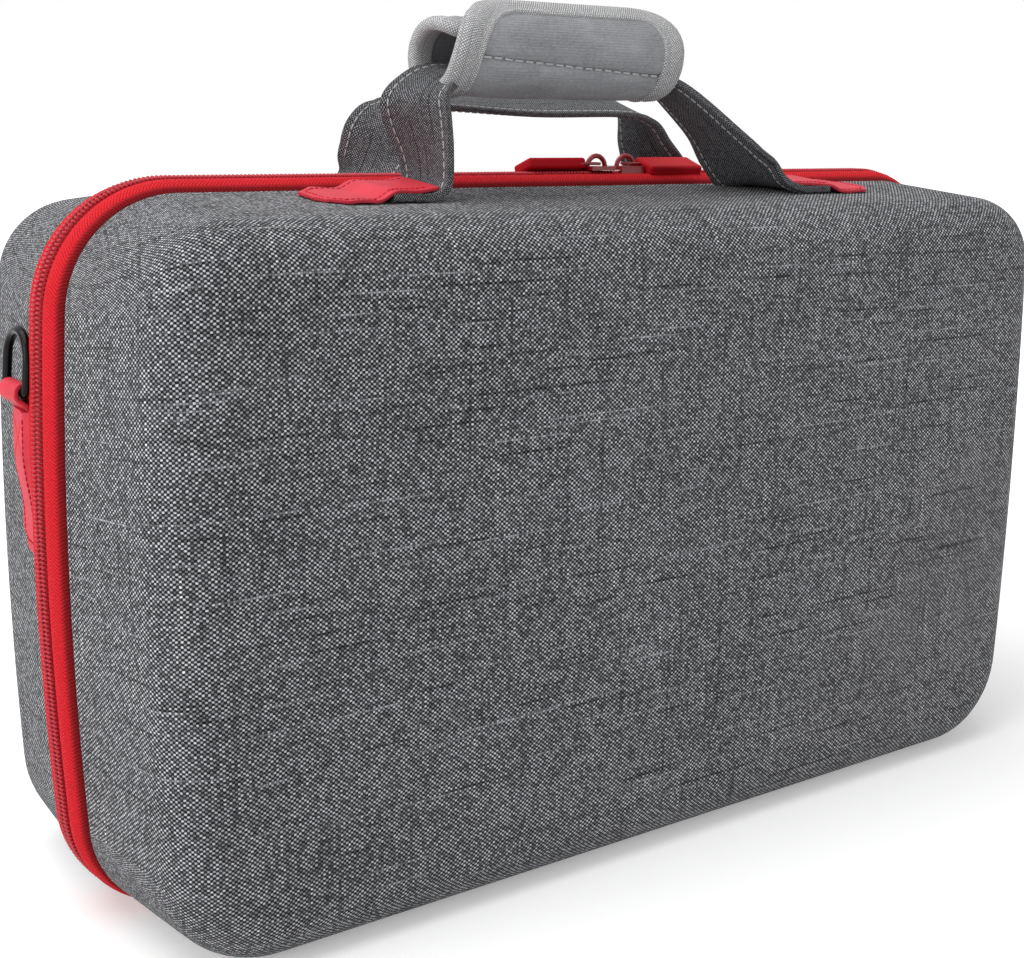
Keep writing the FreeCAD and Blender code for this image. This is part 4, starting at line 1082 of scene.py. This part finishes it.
        def place(u, v):
            index = round(v * count)
            deep, rise = hem[round(u * folds)]
            spot = edge.points[index] + inward(index) * deep * MM
            return on_wrap(spot.x, spot.y, rise * MM)

        band = bent_grid("wrap_binding", folds, count, place,
                         lambda u, v: (spread.marks[round(u * folds)] * MM, edge.marks[round(v * count)]))
        edited(band, merge)
        turn_to(band, lambda center: (0, center.y - middle[0], center.z - middle[1]))
        dress(band, "binding_tape")
        thicken(band, 0.5 * MM, 0)
        fit(band, "front_half", "binding_tape", "grip_binding")
        spots = [edge.points[i] + inward(i) * 6.5 * MM for i in range(count + 1)]
        points = [on_wrap(spot.x, spot.y, (top + 0.75) * MM) for spot in spots]
        ups = [(points[i] - on_wrap(spot.x, spot.y, 0)).normalized() for i, spot in enumerate(spots)]
        stitches("binding_stitching", [Line(points, ups)], 3.0 * MM, "thread", "front_half", "binding_tape")


class CASE_OT_patches(bpy.types.Operator):
    """Coated patches sewn over the ends of the straps"""
    bl_idname = "case.patches"
    bl_label = "Strap patches"

    def execute(self, context):
        s = sizes()
        # Distances of the strap legs from the middle plane, in millimetres
        legs = {("front", "left"): 77, ("front", "right"): 75, ("rear", "left"): 73, ("rear", "right"): 74}
        for (half, hand), leg in legs.items():
            side, way = HALVES[half], HANDS[hand]
            # Where the patch starts on the strap, steps down past its end, and stops
            root, step, toe = (leg + 4) * MM, (leg + 24.5) * MM, (leg + (46 if way < 0 else 49.5)) * MM
            middle = s.strap_y + s.patch_shift

            def reach(x):
                """Half width of the patch, narrower over the strap and with a cut-off toe."""
                tongue = 2.2 * MM / (1 + math.exp((x - root - 17 * MM) / (1.2 * MM)))
                return s.patch_width / 2 - max(0.0, x - toe + 8 * MM) - tongue

            def lie(x, y):
                """Place of the patch's underside over the strap's end and then on the shell."""
                across = (y - middle) / (s.patch_width / 2)
                down = min(1.0, max(0.0, (x - step + 3 * MM) / (7 * MM)))
                on_strap = 0.5 + 0.5 * math.cos(math.pi * down)
                lift = 0.3 * MM + 2.7 * MM * on_strap * (1 - 0.25 * min(1.0, abs(across)) ** 6)
                pucker = 0.2 * MM * math.sin(x * 420 + 4 * across + leg) * across ** 2
                flare = 0.8 * MM * max(0.0, 1 - (x - root) / (9 * MM)) ** 2
                return Vector((way * x, side * y, top_height(y) + lift + pucker + flare + 0.2 * MM))

            def place(u, v):
                x = root + (toe - root) * v
                return lie(x, middle + (2 * u - 1) * reach(x)) - Vector((0, 0, self.hem(u, v) * 0.35 * MM))

            piece = bent_grid(f"strap_patch_{half}_{hand}_coated", 30, 50, place,
                              lambda u, v: (u * s.patch_width, v * (toe - root)))
            turn_to(piece, lambda center: (0, 0, 1))
            dress(piece, "patch_leather")
            thicken(piece, 1.0 * MM, 1, 0.3 * MM)
            fit(piece, f"{half}_half", "patch_leather", f"strap_patch_{half}_{hand}")
            inset = 2.4 * MM
            xs = [root + 2 * MM + (toe - root - 5 * MM) * i / 24 for i in range(25)]
            near = [lie(x, middle - reach(x) + inset) for x in xs]
            far = [lie(x, middle + reach(x) - inset) for x in reversed(xs)]
            points = [point + Vector((0, 0, 0.9 * MM)) for point in near + far]
            row = Line(points, [(0, 0, 1)] * len(points))
            stitches(f"strap_patch_{half}_{hand}_stitching", [row], 2.0 * MM, "leather_thread",
                     f"{half}_half", "patch_leather", 0.35 * MM)
        return {"FINISHED"}

    def hem(self, u, v):
        """How far the sewn row presses into the patch, from 0 to 1."""
        s = sizes()
        rows = (min(u, 1 - u) * s.patch_width, (1 - v) * 45 * MM)
        return max(math.exp(-((row - 2.4 * MM) / (0.7 * MM)) ** 2) for row in rows)


class CASE_OT_rings(bpy.types.Operator):
    """Folded tabs and sewn patches that hold the black wire rings"""
    bl_idname = "case.rings"
    bl_label = "Ring tabs"

    def execute(self, context):
        s = sizes()
        wire, thick = 1.5 * MM, 1.4 * MM
        mid = wire + 0.25 * MM + thick / 2
        patch_top, tail = s.ring_z - 6 * MM, s.ring_z - 16 * MM
        low, wide = patch_top - s.ring_patch_length, s.ring_patch_width
        for hand, side in HANDS.items():
            skin = side_surface(s.ring_y, patch_top)
            # The tab from its inner tail, round the ring's bar, to its outer tail
            fold = [(skin + 0.4 * MM, tail), (skin + 0.5 * MM, patch_top),
                    (s.ring_x - mid, s.ring_z - 2.2 * MM)]
            fold += [(s.ring_x - mid * math.cos(a), s.ring_z + mid * math.sin(a))
                     for a in (math.pi * i / 10 for i in range(11))]
            fold += [(s.ring_x + mid - 0.2 * MM, s.ring_z - 2 * MM), (skin + 2.6 * MM, patch_top),
                     (skin + 2.2 * MM, tail)]
            path = Line([(x, 0, z) for x, z in glide(fold, 4)])
            count = len(path.points) - 1

            def place(u, v):
                point = path.points[round(v * count)]
                y = s.ring_y + s.tab_width * (u - 0.5)
                drop = skin - side_surface(y, point.z) if point.z < patch_top else 0.0
                return side * (point.x - drop), y, point.z

            tab = bent_grid(f"ring_tab_{hand}_folded", 14, count, place,
                            lambda u, v: (s.tab_width * u, path.marks[round(v * count)]))
            dress(tab, "tab_leather")
            thicken(tab, thick, 0, 0.3 * MM)
            fit(tab, "rear_half", "tab_leather", f"ring_tab_{hand}")

            def reach(z):
                """Half width of the patch, with a cut-off foot."""
                return wide / 2 - max(0.0, low + 6 * MM - z)

            def lie(y, z):
                """Place of the patch over the tab's tails and then on the case's side."""
                over = min(1.0, max(0.0, (z - s.ring_z + 42 * MM) / (24 * MM)))
                edge = min(1.0, max(0.0, (8.6 * MM - abs(y - s.ring_y)) / (2 * MM)))
                bulge = 3.0 * MM * over ** 2 * (3 - 2 * over) * edge
                return Vector((side * (side_surface(y, z) + 0.3 * MM + bulge), y, z))

            def cover(u, v):
                z = patch_top + (low - patch_top) * v
                across = (2 * u - 1) * reach(z)
                press = 0.35 * MM * self.sewn(across, patch_top - z)
                return lie(s.ring_y + across, z) - Vector((side * press, 0, 0))

            patch = bent_grid(f"ring_patch_{hand}_sewn", 44, 110, cover,
                              lambda u, v: (wide * u, s.ring_patch_length * v))
            turn_to(patch, lambda center: (side, 0, 0))
            dress(patch, "patch_leather")
            thicken(patch, 1.2 * MM, 1, 0.35 * MM)
            fit(patch, "rear_half", "patch_leather", f"ring_patch_{hand}")
            zs = [patch_top - 2 * MM - (s.ring_patch_length - 5 * MM) * i / 24 for i in range(25)]
            near = [lie(s.ring_y - reach(z) + 2 * MM, z) for z in zs]
            far = [lie(s.ring_y + reach(z) - 2 * MM, z) for z in reversed(zs)]
            points = [point + Vector((side * 1.15 * MM, 0, 0)) for point in near + far]
            row = Line(points, [(side, 0, 0)] * len(points))
            stitches(f"ring_patch_{hand}_stitching", [row], 2.0 * MM, "leather_thread", "rear_half",
                     "patch_leather", 0.35 * MM)
        return {"FINISHED"}

    def sewn(self, across, down):
        """How far the sewn border and the crossed rows press into the patch, from 0 to 1."""
        s = sizes()
        half = s.ring_patch_width / 2 - 2 * MM
        border = abs(abs(across) - half)
        foot = abs(down - s.ring_patch_length + 3 * MM)
        cross = 18 * MM
        rows = [border, foot]
        if down < cross:
            rows.append(abs(abs(across) - half * abs(1 - 2 * down / cross)))
        return max(math.exp(-(row / (0.6 * MM)) ** 2) for row in rows)


class CASE_OT_fittings(bpy.types.Operator):
    """Finishes of the sliders, links, pulls and rings, whose solids already have their shape"""
    bl_idname = "case.fittings"
    bl_label = "Zip and ring fittings"

    def execute(self, context):
        for hand in HANDS:
            for node, slot in ((f"zip_slider_{hand}", "slider_enamel"), (f"pull_link_{hand}", "link_wire"),
                               (f"pull_tab_{hand}", "pull_plastic"), (f"d_ring_{hand}", "ring_black")):
                dress(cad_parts[node], slot)
        return {"FINISHED"}


class CASE_OT_inside(bpy.types.Operator):
    """Foam insert with softened edges, mesh pocket and elastic hem"""
    bl_idname = "case.inside"
    bl_label = "Inside"

    def execute(self, context):
        s = sizes()
        tray = bpy.data.objects.new("foam_insert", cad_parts["foam_tray"].data.copy())
        context.collection.objects.link(tray)
        edited(tray, merge, lambda: bpy.ops.mesh.dissolve_limited(angle_limit=math.radians(4)))
        modify(tray, "BEVEL", width=2.2 * MM, segments=3, limit_method="ANGLE", angle_limit=math.radians(35))
        smooth(tray, 50)
        dress(tray, "tray_foam")
        fit(tray, "rear_half", "tray_foam", "foam_tray")

        low, high = (Vector(corner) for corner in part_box("mesh_pocket"))
        outline = section_points(shell_section(s.rim + 4 * MM, s.wall + 0.4 * MM, low.z))
        rise = high.z - low.z
        middle = (low.y + high.y) / 2

        def place(u, v):
            z = low.z + rise * v
            x = (2 * u - 1) * width_at(outline, z)
            gather = 0.45 * MM * math.sin(x / (6 * MM)) * v ** 3
            return x, middle + gather, z

        pocket = bent_grid("knit_pocket", 96, 40, place, lambda u, v: ((2 * u - 1) * high.x, rise * v))
        turn_to(pocket, lambda center: (0, 1, 0))
        dress(pocket, "pocket_mesh")
        thicken(pocket, 0.6 * MM, 0)
        fit(pocket, "front_half", "pocket_mesh", "mesh_pocket")

        low, high = (Vector(corner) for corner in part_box("pocket_hem"))
        center, half = (low + high) / 2, (high - low) / 2

        def roll(u, v):
            angle = 2 * math.pi * u
            x = center.x + half.x * (2 * v - 1)
            pinch = 1 - 0.12 * math.sin(x / (3 * MM)) ** 2
            return (x, center.y + half.y * pinch * math.cos(angle),
                    center.z + half.z * math.copysign(abs(math.sin(angle)) ** 0.6, math.sin(angle)))

        girth = 24 * MM
        hem = bent_grid("elastic_hem", 20, 240, roll, lambda u, v: (girth * u, 2 * half.x * v))
        edited(hem, merge, outward)
        dress(hem, "hem_elastic")
        smooth(hem)
        fit(hem, "front_half", "hem_elastic", "pocket_hem")
        across = 2 * width_at(outline, 0.6 * rise)
        return {"FINISHED"}


# Stage

class CASE_OT_stage(bpy.types.Operator):
    """White floor, soft lamps and the camera"""
    bl_idname = "case.stage"
    bl_label = "Stage"

    def execute(self, context):
        scene = context.scene
        scene.view_settings.view_transform = "Standard"
        self.floor()
        self.world(scene)
        for name, energy, width, place, aim in (
                ("top_lamp", 24.0, 1.6, (-0.5, 0.1, 1.7), (0, 0, 0.1)),
                ("left_lamp", 14.6, 1.2, (-1.6, -0.2, 0.7), (0, 0, 0.12)),
                ("front_lamp", 10.0, 1.4, (1.3, -1.6, 0.8), (0, 0, 0.12))):
            bpy.ops.object.light_add(type="AREA", location=place)
            lamp = bpy.context.object
            lamp.name = name
            lamp.data.energy, lamp.data.size = energy, width
            lamp.rotation_euler = (Vector(aim) - Vector(place)).to_track_quat("-Z", "Y").to_euler()

        # Place and focal length, in picture widths, from a fit to the photo's outline
        bpy.ops.object.camera_add(location=(-0.3681, -0.4690, 0.2562),
                                  rotation=(1.34914599, -0.01343317, -0.6334429))
        camera = bpy.context.object
        camera.data.sensor_fit = "HORIZONTAL"
        camera.data.sensor_width = 36.0
        camera.data.lens = 1600.51161 / 1024 * camera.data.sensor_width
        camera.data.clip_start = 0.01
        scene.camera = camera
        return {"FINISHED"}

    def seen(self, tree):
        """1 for the rays that show the background in the picture, in metal or through glass."""
        path = put(tree, "LightPath")
        seen = put(tree, "Math", {0: path["Is Camera Ray"], 1: path["Is Glossy Ray"]}, operation="MAXIMUM")[0]
        return put(tree, "Math", {0: seen, 1: path["Is Transmission Ray"]}, operation="MAXIMUM")[0]

    def floor(self):
        """White paper that keeps the shadow near the case and is plain white further off."""
        bpy.ops.object.select_all(action="DESELECT")
        bpy.ops.mesh.primitive_plane_add(size=12)
        floor = bpy.context.object
        floor.name = "floor"
        material, tree, shader = new_material("white_paper", Roughness=0.95, Specular_IOR_Level=0.1)
        place = put(tree, "TexCoord")["Object"]
        grain = put(tree, "TexNoise", {"Vector": place, "Scale": 300.0})["Fac"]
        tint = put(tree, "Mix", {0: grain, 6: linear("#EDEDED"), 7: linear("#F3F3F3")}, data_type="RGBA")[2]
        away = put(tree, "VectorMath", {0: place}, operation="LENGTH")["Value"]
        # The shadow shows in full within 0.25 m and is gone at 1.2 m
        far = put(tree, "MapRange", {"Value": away, 1: 0.25, 2: 1.2, 3: 0.28, 4: 1.0},
                  interpolation_type="SMOOTHSTEP")[0]
        glow = put(tree, "Math", {0: far, 1: self.seen(tree)}, operation="MULTIPLY")[0]
        feed(tree, shader, {"Base Color": tint, "Emission Color": (1, 1, 1, 1), "Emission Strength": glow})
        floor.data.materials.append(material)

    def world(self, scene):
        """Even light from all round that shows as white."""
        world = bpy.data.worlds.new("studio")
        scene.world = world
        world.use_nodes = True
        tree = world.node_tree
        level = put(tree, "Background", {"Color": (1, 1, 1, 1), "Strength": 0.36})[0]
        white = put(tree, "Background", {"Color": (1, 1, 1, 1), "Strength": 1.0})[0]
        both = put(tree, "MixShader", {0: self.seen(tree), 1: level, 2: white})[0]
        feed(tree, tree.nodes["World Output"], {0: both})


class CASE_PT_panel(bpy.types.Panel):
    """Builds the case piece by piece"""
    bl_idname = "CASE_PT_panel"
    bl_label = "Console storage case"
    bl_space_type = "VIEW_3D"
    bl_region_type = "UI"
    bl_category = "Case"

    def draw(self, context):
        for operator in OPERATORS:
            self.layout.operator(operator.bl_idname)
        for group in (context.scene.case_sizes, context.scene.case_colours):
            column = self.layout.column(align=True)
            for key in group.__annotations__:
                column.prop(group, key)


OPERATORS = (CASE_OT_covers, CASE_OT_hinge, CASE_OT_zip, CASE_OT_straps, CASE_OT_grip, CASE_OT_patches,
             CASE_OT_rings, CASE_OT_fittings, CASE_OT_inside, CASE_OT_stage)
CLASSES = (CaseSizes, CaseColours) + OPERATORS + (CASE_PT_panel,)


def register():
    for item in CLASSES:
        bpy.utils.register_class(item)
    bpy.types.Scene.case_sizes = PointerProperty(type=CaseSizes)
    bpy.types.Scene.case_colours = PointerProperty(type=CaseColours)


def unregister():
    del bpy.types.Scene.case_colours
    del bpy.types.Scene.case_sizes
    for item in reversed(CLASSES):
        bpy.utils.unregister_class(item)


def main():
    register()
    bpy.ops.case.covers()
    bpy.ops.case.hinge()
    bpy.ops.case.zip()
    bpy.ops.case.straps()
    bpy.ops.case.grip()
    bpy.ops.case.patches()
    bpy.ops.case.rings()
    bpy.ops.case.fittings()
    bpy.ops.case.inside()
    bpy.ops.case.stage()


if __name__ == "__main__":
    main()
